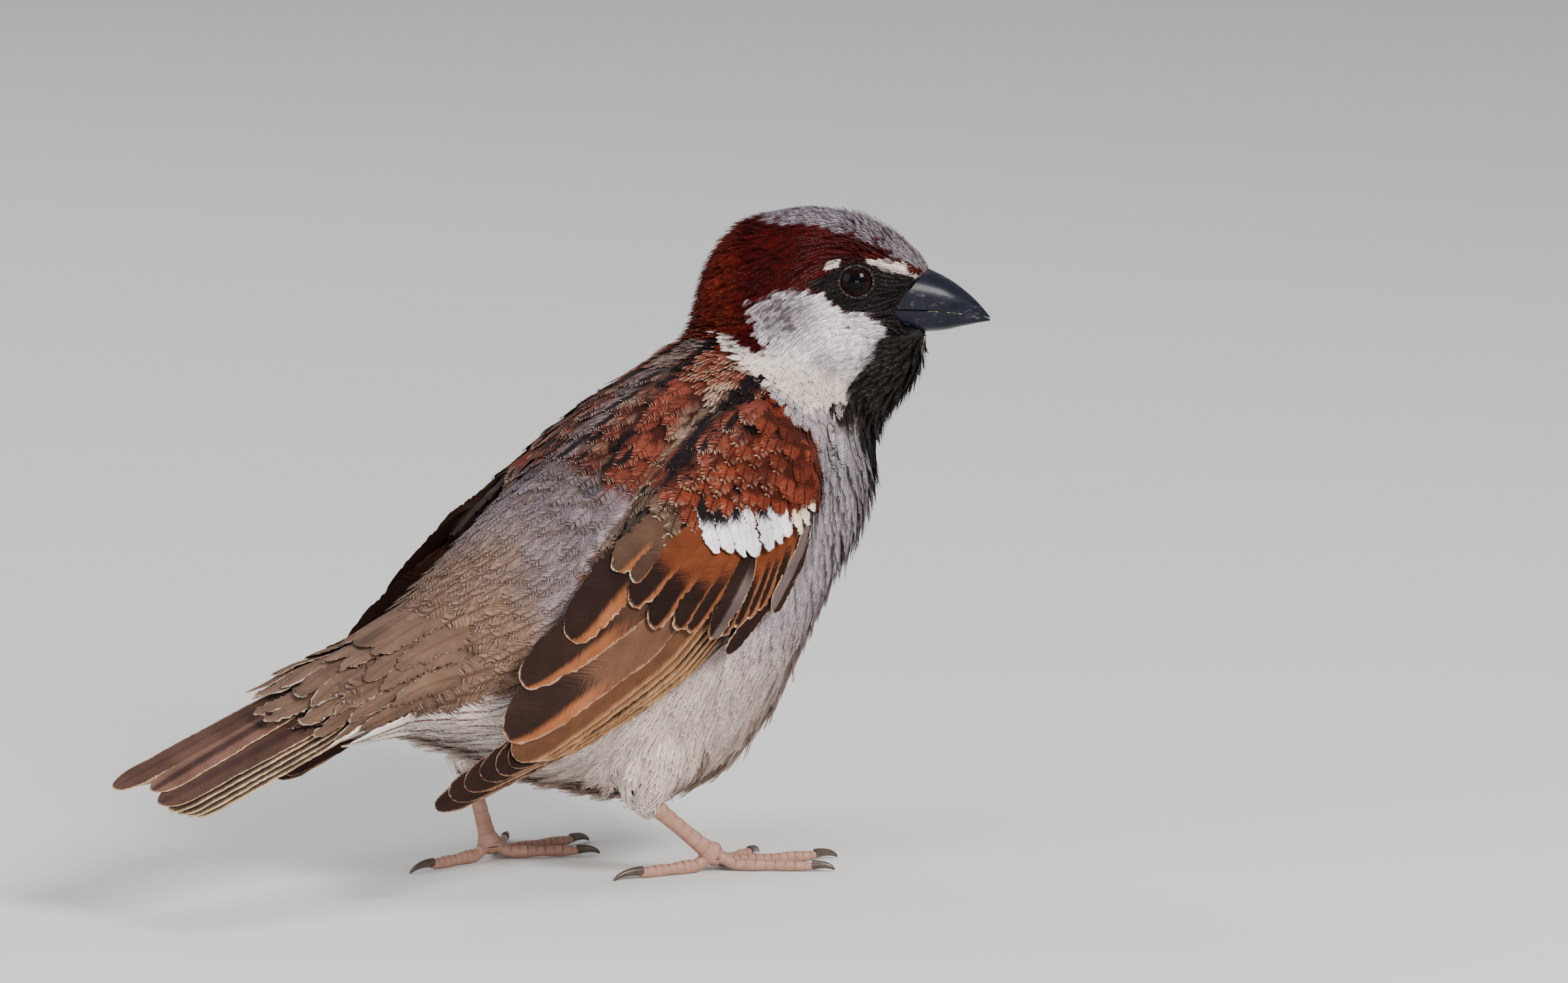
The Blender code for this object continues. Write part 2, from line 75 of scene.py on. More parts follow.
# The folded wing has flat axes of its own in the side view: along from wrist to tip, across upwards.
wing = {
    "wrist": (21.0, 49.0), "slope": 27.8,
    "out": ((-3.0, 17.6), (5.0, 20.2), (15.0, 22.0), (30.0, 22.4), (45.0, 21.5), (60.0, 19.7), (75.0, 18.2)),
    "rounding": 0.020,
}
wingBack = -np.array([math.cos(math.radians(wing["slope"])), math.sin(math.radians(wing["slope"]))])
wingRise = np.array([-math.sin(math.radians(wing["slope"])), math.cos(math.radians(wing["slope"]))])


def wingPlace(points):
    x, z = points[:, 0] - wing["wrist"][0], points[:, 2] - wing["wrist"][1]
    return x * wingBack[0] + z * wingBack[1], x * wingRise[0] + z * wingRise[1]


def readTable(table, at):
    xs, values = zip(*table)
    return np.interp(at, xs, values)


def easeTable(table, at):
    # a smooth reading of ((place, value), ...), with slopes taken from the neighbours
    xs, values = (np.array(column, float) for column in zip(*table))
    slopes = np.gradient(values, xs)
    at = np.clip(at, xs[0], xs[-1])
    i = np.clip(np.searchsorted(xs, at) - 1, 0, len(xs) - 2)
    gap = xs[i + 1] - xs[i]
    t = (at - xs[i]) / gap
    return ((2 * t**3 - 3 * t**2 + 1) * values[i] + (t**3 - 2 * t**2 + t) * gap * slopes[i]
            + (3 * t**2 - 2 * t**3) * values[i + 1] + (t**3 - t**2) * gap * slopes[i + 1])


def wingSurface(along, across, side, lift):
    out = easeTable(wing["out"], along) - wing["rounding"] * (across + 3.0) ** 2 + lift
    x = wing["wrist"][0] + along * wingBack[0] + across * wingRise[0]
    z = wing["wrist"][1] + along * wingBack[1] + across * wingRise[1]
    return np.stack([x, side * out, z], axis=-1)


def smoothStep(low, high, value):
    t = np.clip((value - low) / (high - low), 0, 1)
    return t * t * (3 - 2 * t)


def waveNoise(points, size, seed):
    # smooth noise from about -1 to 1, from a few waves in fixed directions
    draw = np.random.default_rng(seed)
    total = np.zeros(len(points))
    for _ in range(7):
        direction = draw.normal(size=3)
        total += np.sin(points @ direction * (2.2 / size) + draw.uniform(0, 6.3))
    return total / 3.0


def insideDistance(outline, x, z):
    # negative inside the outline, positive outside
    outline = np.asarray(outline, float)
    nearest = np.full(len(x), 1e9)
    crossings = np.zeros(len(x), int)
    for (x0, z0), (x1, z1) in zip(outline, np.roll(outline, -1, axis=0)):
        t = np.clip(((x - x0) * (x1 - x0) + (z - z0) * (z1 - z0)) / ((x1 - x0) ** 2 + (z1 - z0) ** 2), 0, 1)
        nearest = np.minimum(nearest, np.hypot(x - x0 - t * (x1 - x0), z - z0 - t * (z1 - z0)))
        if z0 != z1:
            spans = (z0 > z) != (z1 > z)
            crossings += spans & (x < x0 + (z - z0) * (x1 - x0) / (z1 - z0))
    return np.where(crossings % 2 == 1, -nearest, nearest)


# colours and markings
paint = {
    "chestnutHead": (0.036, 0.0018, 0.0010), "nape": (0.110, 0.0125, 0.0060),
    "crownGrey": (0.370, 0.310, 0.360), "cheek": (0.800, 0.720, 0.780),
    "neckCream": (0.820, 0.710, 0.600), "bib": (0.020, 0.016, 0.0135), "earGrey": (0.200, 0.160, 0.170),
    "breastGrey": (0.465, 0.405, 0.440), "belly": (0.740, 0.590, 0.530), "vent": (0.880, 0.770, 0.710),
    "mantle": (0.155, 0.035, 0.021), "black": (0.011, 0.007, 0.008), "buff": (0.470, 0.320, 0.220),
    "paleBand": (0.200, 0.150, 0.110), "backGrey": (0.240, 0.192, 0.212), "shoulder": (0.180, 0.0330, 0.0150),
    "rump": (0.200, 0.118, 0.080), "rumpShaft": (0.110, 0.058, 0.040), "rumpEdge": (0.440, 0.330, 0.260),
    "olive": (0.110, 0.068, 0.045), "orange": (0.300, 0.072, 0.020), "under": (0.120, 0.095, 0.095),
    "browWhite": (0.660, 0.560, 0.500), "undertail": (0.930, 0.800, 0.740),
    "undertailCentre": (0.150, 0.080, 0.055), "foreCrown": (0.240, 0.100, 0.070),
}

# Outlines on the side of the head: (ahead of its middle, up). The wing bar is in wing places.
markings = {
    "crown": ((18.0, 2.2), (14.6, 2.7), (12.5, 3.9), (8.7, 5.8), (4.9, 7.5), (-0.6, 8.9), (-5.7, 9.4),
              (-9.5, 8.6), (-10.5, 11.0), (-5.0, 15.0), (18.0, 15.0)),
    "mask": ((-1.2, 1.6), (-0.5, 1.1), (1.3, -0.3), (2.8, -1.9), (4.8, -2.5), (6.7, -2.5), (8.5, -3.9),
             (8.8, -4.9), (7.3, -7.3), (6.4, -9.4), (4.6, -11.4), (4.0, -13.4), (4.6, -16.0), (5.6, -19.0),
             (30.0, -19.0), (30.0, 1.6), (14.3, 2.2), (12.8, 2.2), (11.2, 2.7), (9.8, 3.2), (8.6, 3.7),
             (7.2, 4.1), (5.6, 4.3), (3.4, 3.9), (1.6, 3.0), (0.4, 2.3)),
    "cheek": ((-8.5, -1.1), (-5.8, -0.2), (-2.6, 0.9), (-0.3, 0.1), (2.4, -1.1), (3.2, -2.1), (6.7, -2.5),
              (8.8, -4.7), (7.4, -7.3), (6.4, -9.6), (4.6, -11.6), (4.0, -13.6), (4.0, -15.6), (-0.2, -15.2),
              (-3.2, -13.2), (-7.0, -10.6), (-11.2, -8.2), (-13.4, -5.7), (-11.8, -6.0), (-9.4, -7.3),
              (-6.9, -8.1), (-6.7, -7.2), (-7.5, -5.4), (-8.4, -3.2)),
    "brow": ((6.7, 4.2), (8.4, 3.4), (9.8, 2.8), (11.2, 2.2), (12.8, 1.6), (13.3, 2.4), (12.0, 3.1),
             (10.6, 3.7), (9.4, 3.8), (8.4, 4.7), (6.9, 5.0)),
    "spot": ((3.0, 4.1), (2.3, 3.4), (1.3, 3.0), (0.0, 2.3), (0.4, 3.2), (1.4, 3.8), (2.3, 4.3)),
    "wingBar": ((21.5, 10.4), (18.6, 9.6), (14.6, 9.2), (11.4, 8.8), (9.2, 7.6), (7.0, 6.3), (4.0, 5.5),
                (0.6, 5.0), (-2.6, 6.0), (-6.0, 8.0), (-6.0, -14.0), (60.0, -14.0), (60.0, 19.0),
                (31.0, 19.0), (28.6, 15.2), (25.0, 12.2)),
    "foldedWing": ((-1.0, 3.5), (0.5, -0.5), (4.3, -3.9), (10.7, -6.3), (26.0, -6.6), (46.0, -6.2),
                   (62.0, -3.0), (62.0, 3.0), (46.0, 8.4), (34.0, 10.4), (22.0, 9.0), (10.0, 4.0)),
}
# Rows along the back, as distances from its middle at places along the body.
mantleRows = {
    "x": (-10.0, -2.0, 5.0, 12.0, 18.0),
    "innerBlack": (7.9, 6.3, 4.7, 3.0, 1.9), "pale": (14.8, 13.2, 10.9, 10.1, 8.4),
    "outerBlack": (17.4, 15.8, 13.0, 12.0, 10.2),
}
mantleFront = ((49.0, 21.6), (56.0, 22.6), (59.0, 21.0), (63.0, 18.4), (67.0, 17.2), (72.0, 15.0))
backBorder = ((-50.0, 23.2), (-40.0, 24.8), (-24.0, 27.4), (-14.0, 37.0), (0.0, 50.0), (40.0, 60.0))


# Soft borders: where each begins and ends, then its strength where that is not 1.
softEdges = {
    "belly": (40.0, 18.0), "cloud": (0.2, 1.4, 0.4), "ventBack": (-6.0, -24.0), "ventLow": (24.0, 20.0),
    "chestTop": (44.0, 52.0, 0.22), "backBorder": (-0.8, 0.8), "faceFront": (-1.5, 0.5),
    "faceLow": (-17.0, -15.0), "rump": (-15.0, -27.0), "backPatches": (0.3, 1.3, 0.6),
    "paintedLightSides": (10.5, 14.5, 0.80), "paintedLightSidesBack": (-32.0, -25.0), "innerBack": (-20.0, -9.0, 0.47),
    "innerBackSide": (13.0, 9.0), "rumpEnd": (-28.0, -38.0, 0.36), "undertail": (-22.0, -30.0),
    "mantleFront": (0.6, -0.6), "mantleBack": (-10.5, -4.0), "mantleTop": (71.5, 69.5),
    "midline": (2.4, 1.2, 0.8), "paleRow": (1.5, 0.5), "paleRowFront": (15.0, 11.0),
    "pastMidline": (0.8, 1.5), "beforeInner": (0.2, -0.6), "innerRow": (1.0, 0.45), "outerRow": (1.45, 0.8),
    "collar": (65.0, 67.5), "crestUp": (3.5, 8.0, 0.25), "crestBack": (0.0, 5.0), "head": (-8.6, -7.6),
    "napeBack": (-12.6, -13.6), "napeLow": (-4.6, -6.2), "hindHead": (-8.5, -12.0, 0.8), "crown": (0.4, -0.4),
    "foreCrown": (6.0, 11.0, 0.5), "cheek": (0.25, -0.25), "cream": (-5.0, -10.5), "ear": (6.4, 1.0),
    "smudge": (3.2, 0.8, 0.5), "mask": (0.2, -0.2), "bib": (2.0, -2.0), "throat": (-7.0, -4.0, 0.55),
    "headMark": (0.15, -0.15), "bibFringe": (57.0, 49.0, 0.30),
}
# Widths of streaks, fringes and bases as shares of a feather, and their tones beside its tint.
widths = {"streak": 0.05, "streakTone": 0.45, "fringe": 0.30, "fringeTone": 1.5, "backStreak": 0.05,
          "backFringe": 0.17, "undertailStreak": 0.07, "collarFringe": 0.10, "base": 0.2, "baseTone": 0.6,
          "duskyBase": 0.52, "duskyTone": 0.25}
# The shoulder and the scapulars, in wing places, and how far out and up they begin.
shoulderPlan = {"out": 12.5, "low": 30.0, "back": 36.0, "lesserAcross": 13.5, "scapularAcross": 19.5}
# The bib below the throat, as bearings round the neck at heights.
bibPlan = {"axis": 27.0, "low": 42.0, "high": 60.5, "middle": ((42.0, 14.0), (52.0, 30.0), (60.0, 45.0)),
           "half": ((43.5, 0.0), (46.0, 13.0), (50.0, 29.0), (56.0, 37.0), (60.0, 44.0))}


def blendInto(colours, mask, colour):
    colours += (np.asarray(colour, float) - colours) * np.clip(mask, 0, 1)[:, None]


def edge(name, value):
    low, high, *strength = softEdges[name]
    return smoothStep(low, high, value) * (strength[0] if strength else 1.0)


def bodyMarkings(points):
    # one set of markings for skin and plumage: each feather's tint, streak, fringe and downy base
    n = len(points)
    x, y, z = points.T
    ahead, _, up = headPlace(points)
    along, across = wingPlace(points)
    side = np.abs(y)
    rough, broad, fine = (waveNoise(points, size, seed) for size, seed in ((1.6, 3), (7.0, 5), (0.7, 8)))
    tint = np.tile(np.array(paint["breastGrey"], float), (n, 1))
    streak, fringe = np.zeros((n, 4)), np.zeros((n, 4))

    def lay(mask, name, tone=1.0):
        blendInto(tint, mask, np.array(paint[name]) * tone)

    def brighten(share):
        tint[:] *= 1 + share[:, None]

    lay(edge("belly", z), "belly")
    lay(edge("cloud", broad), "belly")
    lay(edge("ventBack", x) * edge("ventLow", z), "vent")
    brighten(-edge("chestTop", z))
    streak[:, :3] = tint * widths["streakTone"]
    streak[:, 3] = widths["streak"]
    fringe[:, :3] = np.minimum(tint * widths["fringeTone"], 0.9)
    fringe[:, 3] = widths["fringe"]

    # back and rump
    upper = edge("backBorder", z - readTable(backBorder, x) + rough * 0.5)
    upper *= 1 - edge("faceFront", ahead - 0.2 * up + 3) * edge("faceLow", up)
    rump = upper * edge("rump", x + broad * 2)
    lay(upper, "backGrey")
    lay(upper * edge("backPatches", rough + 0.5 * broad), "rump", 0.7)
    lay(rump, "rump")
    blendInto(streak[:, :3], upper, paint["rumpShaft"])
    blendInto(fringe[:, :3], upper, paint["rumpEdge"])
    streak[:, 3] += (widths["backStreak"] + 0.05 * rump - streak[:, 3]) * upper
    fringe[:, 3] += (widths["backFringe"] + 0.03 * rump - fringe[:, 3]) * upper
    # painted light: the back's grey is lightened at its sides beside the folded wing, against the wing's
    # shade there
    brighten(upper * edge("paintedLightSides", side) * edge("paintedLightSidesBack", x))
    brighten(-upper * edge("innerBack", x) * edge("innerBackSide", side))
    brighten(-rump * edge("rumpEnd", x))
    undertail = (1 - upper) * edge("undertail", x)
    lay(undertail, "undertail")
    blendInto(streak[:, :3], undertail, paint["undertailCentre"])
    streak[:, 3] += (widths["undertailStreak"] - streak[:, 3]) * undertail

    # mantle: rows of chestnut with black lines and pale bands, running with the lie
    rear = edge("mantleFront", x - readTable(mantleFront, z) + rough * 0.4) > 0.5
    mantle = upper * edge("mantleBack", x + broad * 2.0 - 0.10 * side) * edge("mantleTop", z) * rear
    mantle = (mantle > 0.45 + 0.25 * fine).astype(float)
    inner, pale, outer = (np.interp(x, mantleRows["x"], mantleRows[row])
                          for row in ("innerBlack", "pale", "outerBlack"))
    lay(mantle * (1 - edge("midline", side + rough * 0.4)), "mantle")
    pales = edge("paleRow", np.abs(side - pale + rough * 0.3)) * edge("paleRowFront", x)
    lay(0.75 * mantle * pales, "paleBand")
    between = edge("pastMidline", side) * edge("beforeInner", side - inner)
    lay(0.7 * mantle * between * (rough > 0.15), "black")
    lay(0.6 * mantle * between * (rough < -0.6), "paleBand")
    dark = mantle * np.maximum(edge("innerRow", np.abs(side - inner + rough * 0.35)),
                               edge("outerRow", np.abs(side - outer + rough * 0.35)))
    lay(dark, "black")
    rowed = mantle > 0.5
    streak[rowed, :3] = paint["black"]
    streak[rowed, 3] = np.where(fine > 0.5, 0.26, 0.03)[rowed]
    fringe[rowed, :3] = paint["buff"]
    fringe[rowed, 3] = np.where(dark > 0.5, 0.04, np.where(pales > 0.3, 0.6, 0.22 + 0.08 * fine))[rowed]

    # the nape's chestnut runs down on to the hind neck
    collar = upper * edge("collar", z + rough * 0.6) * (mantle < 0.5)
    lay(collar, "nape")
    blendInto(fringe[:, :3], collar, paint["buff"])
    fringe[:, 3] += (widths["collarFringe"] - fringe[:, 3]) * collar
    blendInto(streak[:, :3], collar, paint["black"])

    # shoulder of the wing, with the scapulars above it
    onWing = (side > shoulderPlan["out"]) & (across > -4) & (along < shoulderPlan["back"])
    onWing &= (z > shoulderPlan["low"]) & (along > -3.6 + 0.9 * np.maximum(3.0 - across, 0)) & rear
    lesser = onWing & (across < shoulderPlan["lesserAcross"]) & (along < 20.5)
    scapular = onWing & ~lesser & (across < shoulderPlan["scapularAcross"])
    behind = scapular & (along + 1.5 * rough > 21)
    lay(lesser, "shoulder")
    lay(scapular & ~behind, "mantle", 1.1)
    lay(behind, "olive")
    lay(0.3 * (behind & (across < 10.5 + 1.5 * rough)), "orange")
    band = scapular & (np.abs(side - outer + rough * 0.4) < 1.2) & (along < 20)
    lay(band | onWing & ((fine > 1.15) | ((rough > 1.1) & (across > 8))), "black")
    streak[onWing, :3] = paint["black"]
    streak[onWing, 3] = np.where(lesser, 0.06, np.where(fine > 0.3, 0.24, 0.04))[onWing]
    fringe[onWing, :3] = paint["buff"]
    crest = edge("crestUp", across) * edge("crestBack", along)
    ends = np.where(lesser, crest * (0.8 + 0.5 * fine), np.where(behind, 0.32, 0.22))
    fringe[onWing, 3] = np.where(band, 0.06, ends)[onWing]

    # head, throat and bib
    jag = rough * 0.22 + fine * 0.16
    head = edge("head", up + 0.05 * ahead + rough * 0.3) * (z > 62)
    head *= 1 - edge("napeBack", ahead) * edge("napeLow", up)
    lay(head, "chestnutHead")
    lay(head * edge("hindHead", ahead), "nape")
    headed = head > 0.5
    tint[headed] *= 1 + 0.34 * fine[headed, None] + 0.25 * rough[headed, None]
    streak[headed, 3] = 0.0
    fringe[headed, 3] = 0.0
    crown = edge("crown", insideDistance(markings["crown"], ahead, up) + jag * 1.6) * (z > 70)
    lay(crown, "crownGrey")
    crowned = crown > 0.5
    tint[crowned] *= np.where(fine[crowned] > 0.7, 0.35, 1.0)[:, None]
    lay(crown * edge("foreCrown", ahead) * (fine > 0.2), "foreCrown")
    streak[crowned, :3] = np.array(paint["crownGrey"]) * 0.25
    streak[crowned, 3] = 0.24
    cheek = edge("cheek", insideDistance(markings["cheek"], ahead, up) + jag)
    white = np.array(paint["cheek"]) * (0.93 + 0.07 * waveNoise(points, 3.0, 9) + 0.06 * fine)[:, None]
    blendInto(white, edge("cream", up + 0.3 * ahead + 2), paint["neckCream"])
    ear = edge("ear", np.hypot(ahead + 4.4, (up + 2.8) * 1.1))
    smudge = edge("smudge", np.hypot(ahead - 1.2, (up + 9.4) * 1.2))
    blendInto(white, np.maximum(ear, smudge) * (0.55 + 0.60 * fine), paint["earGrey"])
    tint += (white - tint) * cheek[:, None]
    cheeked = cheek > 0.5
    streak[cheeked, :3] = white[cheeked] * 0.40
    streak[cheeked, 3] = 0.05 + 0.30 * ear[cheeked]
    fringe[cheeked, 3] = 0.0
    mask = edge("mask", insideDistance(markings["mask"], ahead, up) + jag * 0.7) * (up > -19)
    # below the throat the bib follows the turn of the neck down on to the breast
    bearing = np.degrees(np.arctan2(-y, x - bibPlan["axis"]))
    fromMiddle, half = np.abs(bearing - readTable(bibPlan["middle"], z)), readTable(bibPlan["half"], z)
    bib = edge("bib", fromMiddle - half + rough * 6 + fine * 8) * (z > bibPlan["low"]) * (z < bibPlan["high"])
    black = np.maximum(mask, bib)
    lay(black, "bib")
    brighten(-mask * edge("throat", up))
    blacked = black > 0.5
    streak[blacked, 3] = 0.0
    fringe[blacked, :3] = paint["breastGrey"]
    fringe[blacked, 3] = (edge("bibFringe", z) * (mask < 0.5))[blacked]
    for name in ("brow", "spot"):
        patch = edge("headMark", insideDistance(markings[name], ahead, up) + jag * 1.1)
        lay(patch, "browWhite")
        marked = patch > 0.5
        tint[marked] *= np.where(fine[marked] > 0.9, 0.45, 1.0)[:, None]
        fringe[marked, 3] = 0.0
        streak[marked, 3] = 0.0
    # a few black flecks stand in the grey beside the bib
    flecks = (rough + 0.6 * fine > 1.25) & (fromMiddle < half + 30) & (z > 43) & (z < 59)
    lay(flecks & (black < 0.5) & (cheek < 0.5) & ~onWing, "bib", 2.0)
    base = np.empty((n, 4))
    base[:, :3] = np.minimum(tint * widths["baseTone"], paint["under"])
    base[:, 3] = widths["base"]
    dusky = lesser | (rowed & ~onWing)
    base[dusky, :3] = tint[dusky] * widths["duskyTone"]
    base[dusky, 3] = widths["duskyBase"]
    return np.clip(tint, 0.002, 1), streak, fringe, base


# materials
def feed(tree, socket, value):
    # a number or a colour is set on the socket, anything else is linked to it
    if isinstance(value, (int, float)):
        socket.default_value = value
    elif isinstance(value, tuple):
        socket.default_value = (*value, 1.0)
    else:
        tree.links.new(value, socket)


def mathNode(tree, operation, *values):
    node = tree.nodes.new("ShaderNodeMath")
    node.operation = operation
    for socket, value in zip(node.inputs, values):
        feed(tree, socket, value)
    return node.outputs[0]


def rampBetween(tree, value, low, high):
    node = tree.nodes.new("ShaderNodeMapRange")
    node.interpolation_type = "SMOOTHSTEP"
    for name, given in (("Value", value), ("From Min", low), ("From Max", high)):
        feed(tree, node.inputs[name], given)
    return node.outputs["Result"]


def mixColour(tree, factor, first, second):
    node = tree.nodes.new("ShaderNodeMix")
    node.data_type = "RGBA"
    for number, value in ((0, factor), (6, first), (7, second)):    # its factor and two colours
        feed(tree, node.inputs[number], value)
    return node.outputs[2]


def noiseNode(tree, vector, scale, detail=3.0, roughness=0.55):
    node = tree.nodes.new("ShaderNodeTexNoise")
    for name, value in (("Scale", scale), ("Detail", detail), ("Roughness", roughness), ("Vector", vector)):
        feed(tree, node.inputs[name], value)
    return node.outputs["Fac"]


def cellNode(tree, vector, scale):
    node = tree.nodes.new("ShaderNodeTexVoronoi")
    node.inputs["Scale"].default_value = scale
    tree.links.new(vector, node.inputs["Vector"])
    return node.outputs["Distance"]


def joinedParts(tree, *parts):
    node = tree.nodes.new("ShaderNodeCombineXYZ")
    for socket, value in zip(node.inputs, parts):
        feed(tree, socket, value)
    return node.outputs[0]


def partsOf(tree, vector):
    node = tree.nodes.new("ShaderNodeSeparateXYZ")
    tree.links.new(vector, node.inputs[0])
    return node.outputs


def objectPlace(tree):
    return tree.nodes.new("ShaderNodeTexCoord").outputs["Object"]


def attributeOf(tree, name):
    node = tree.nodes.new("ShaderNodeAttribute")
    node.attribute_name = name
    return node.outputs


def bumpInto(tree, shader, height, distance, strength=1.0):
    node = tree.nodes.new("ShaderNodeBump")
    node.inputs["Strength"].default_value = strength
    node.inputs["Distance"].default_value = distance
    tree.links.new(height, node.inputs["Height"])
    tree.links.new(node.outputs["Normal"], shader.inputs["Normal"])


def makeVaneGroup():
    # paints one feather: a centre streak, the vane, a fringe along its rim and a downy base
    group = bpy.data.node_groups.new("vane markings", "ShaderNodeTree")
    sockets = {"Vector": ("Vane",), "Color": ("Tint", "Streak", "Fringe", "Base"),
               "Float": ("Rim", "Streak Width", "Fringe Width", "Base End", "Jag", "Softness",
                         "Barbs Per mm", "Barb Depth")}
    for kind, names in sockets.items():
        for name in names:
            group.interface.new_socket(name=name, in_out="INPUT", socket_type="NodeSocket" + kind)
    for name, kind in (("Colour", "Color"), ("Height", "Float")):
        group.interface.new_socket(name=name, in_out="OUTPUT", socket_type="NodeSocket" + kind)

    def calc(operation, *values):
        return mathNode(group, operation, *values)

    given = group.nodes.new("NodeGroupInput").outputs
    across, along, phase = partsOf(group, given["Vane"])
    place = objectPlace(group)
    teeth = joinedParts(group, calc("MULTIPLY", phase, 4.2), calc("MULTIPLY", across, 0.5),
                        calc("MULTIPLY", partsOf(group, place)[2], 300.0))
    jag = calc("MULTIPLY", calc("SUBTRACT", noiseNode(group, teeth, 1.0, 3.0, 0.65), 0.5), given["Jag"])
    offStreak = rampBetween(group, calc("ADD", across, jag),
                            calc("SUBTRACT", given["Streak Width"], given["Softness"]),
                            calc("ADD", given["Streak Width"], given["Softness"]))
    colour = mixColour(group, offStreak, given["Streak"], given["Tint"])
    pastBase = rampBetween(group, calc("ADD", along, jag), calc("SUBTRACT", given["Base End"], 0.10),
                           calc("ADD", given["Base End"], 0.10))
    colour = mixColour(group, pastBase, given["Base"], colour)
    rim = calc("ADD", given["Rim"], jag)
    glow = rampBetween(group, rim, 0.0, calc("MULTIPLY_ADD", given["Fringe Width"], 2.4, 0.001))
    colour = mixColour(group, calc("MULTIPLY_ADD", glow, 0.4, 0.6), given["Fringe"], colour)
    pastFringe = rampBetween(group, rim, calc("MULTIPLY", given["Fringe Width"], 0.55),
                             calc("ADD", given["Fringe Width"], 0.001))
    colour = mixColour(group, pastFringe, given["Fringe"], colour)
    turns = calc("MULTIPLY", calc("MULTIPLY", phase, given["Barbs Per mm"]), 6.2832)
    ridge = calc("MULTIPLY_ADD", calc("SINE", turns), 0.5, 0.5)
    shade = calc("MULTIPLY", calc("SUBTRACT", ridge, 0.6), given["Barb Depth"])
    cloud = calc("MULTIPLY_ADD", noiseNode(group, place, 420.0, 4.0), 0.5, 0.76)
    barPlace = joinedParts(group, calc("MULTIPLY", phase, 1.7), calc("MULTIPLY", across, 0.5))
    barred = calc("SUBTRACT", noiseNode(group, barPlace, 1.0, 4.0, 0.7), 0.5)
    gain = calc("MULTIPLY_ADD", barred, calc("MULTIPLY", given["Barb Depth"], 3.0), calc("ADD", cloud, shade))
    brightened = group.nodes.new("ShaderNodeVectorMath")
    brightened.operation = "SCALE"
    group.links.new(colour, brightened.inputs[0])
    group.links.new(gain, brightened.inputs["Scale"])
    result = group.nodes.new("NodeGroupOutput")
    group.links.new(brightened.outputs[0], result.inputs["Colour"])
    group.links.new(ridge, result.inputs["Height"])
    return group


def plainMaterial(name, colour, roughness, specular=0.5, coat=0.0, coatRoughness=0.1):
    made = bpy.data.materials.new(name)
    made.use_nodes = True
    shader = made.node_tree.nodes["Principled BSDF"]
    for socket, value in (("Base Color", (*colour, 1.0)), ("Roughness", roughness),
                          ("Specular IOR Level", specular), ("Coat Weight", coat),
                          ("Coat Roughness", coatRoughness)):
        shader.inputs[socket].default_value = value
    return made, made.node_tree, shader


def cloudedMaterial(name, finish):
    # two tones in soft clouds
    made, tree, shader = plainMaterial(name, finish["colours"][0], finish["roughness"], finish["specular"],
                                       finish.get("coat", 0.0), 0.2)
    cloud = noiseNode(tree, objectPlace(tree), finish["cloud"])
    tree.links.new(mixColour(tree, cloud, *finish["colours"]), shader.inputs["Base Color"])
    return made


vaneGroup = makeVaneGroup()


def featherMaterial(name, finish):
    made, tree, shader = plainMaterial(name, (0.8, 0.8, 0.8), finish["roughness"], finish["specular"])
    shader.inputs["Sheen Weight"].default_value = finish["sheen"]
    painted = tree.nodes.new("ShaderNodeGroup")
    painted.node_tree = vaneGroup
    for attribute, colourSocket, widthSocket in (("tint", "Tint", None), ("streak", "Streak", "Streak Width"),
                                                 ("fringe", "Fringe", "Fringe Width"),
                                                 ("base", "Base", "Base End")):
        outputs = attributeOf(tree, attribute)
        tree.links.new(outputs["Color"], painted.inputs[colourSocket])
        if widthSocket:
            tree.links.new(outputs["Alpha"], painted.inputs[widthSocket])
    tree.links.new(attributeOf(tree, "vaneAt")["Vector"], painted.inputs["Vane"])
    tree.links.new(attributeOf(tree, "rim")["Fac"], painted.inputs["Rim"])
    for socket, key in (("Jag", "jag"), ("Softness", "softness"), ("Barbs Per mm", "barbs"),
                        ("Barb Depth", "depth")):
        painted.inputs[socket].default_value = finish[key]
    tree.links.new(painted.outputs["Colour"], shader.inputs["Base Color"])
    bumpInto(tree, shader, painted.outputs["Height"], 0.00008, finish["bump"])
    return made


velvetFinish = featherMaterial("velvet feathers", {
    "roughness": 0.80, "sheen": 0.0, "specular": 0.05, "jag": 0.30, "barbs": 2.2, "depth": 0.05, "bump": 0.2,
    "softness": 0.07})
plumeFinish = featherMaterial("body feathers", {
    "roughness": 0.78, "sheen": 0.02, "specular": 0.08, "jag": 0.30, "barbs": 3.8, "depth": 0.22, "bump": 0.4,
    "softness": 0.07})
quillFinish = featherMaterial("wing and tail feathers", {
    "roughness": 0.66, "sheen": 0.0, "specular": 0.06, "jag": 0.46, "barbs": 3.6, "depth": 0.20, "bump": 0.6,
    "softness": 0.16})


def skinMaterial():
    made, tree, shader = plainMaterial("skin under the plumage", (0.2, 0.2, 0.2), 0.9, 0.2)
    patchy = noiseNode(tree, objectPlace(tree), 900.0, 4.0)
    darker = mixColour(tree, mathNode(tree, "MULTIPLY", patchy, 0.6), attributeOf(tree, "tint")["Color"],
                       (0.03, 0.026, 0.027))
    tree.links.new(darker, shader.inputs["Base Color"])
    bumpInto(tree, shader, patchy, 0.0002)
    return made


# meshes and their places in the scene
def giveValues(mesh, key, values):
    # numbers, places or colours, one for each point
    if values.ndim == 1:
        kind, field = "FLOAT", "value"
    elif key == "vaneAt":
        kind, field = "FLOAT_VECTOR", "vector"
    else:
        kind, field = "FLOAT_COLOR", "color"
        values = np.hstack([values, np.ones((len(values), 4 - values.shape[1]))])
    layer = mesh.attributes.new(key, kind, "POINT")
    layer.data.foreach_set(field, values.astype(np.float32).ravel())


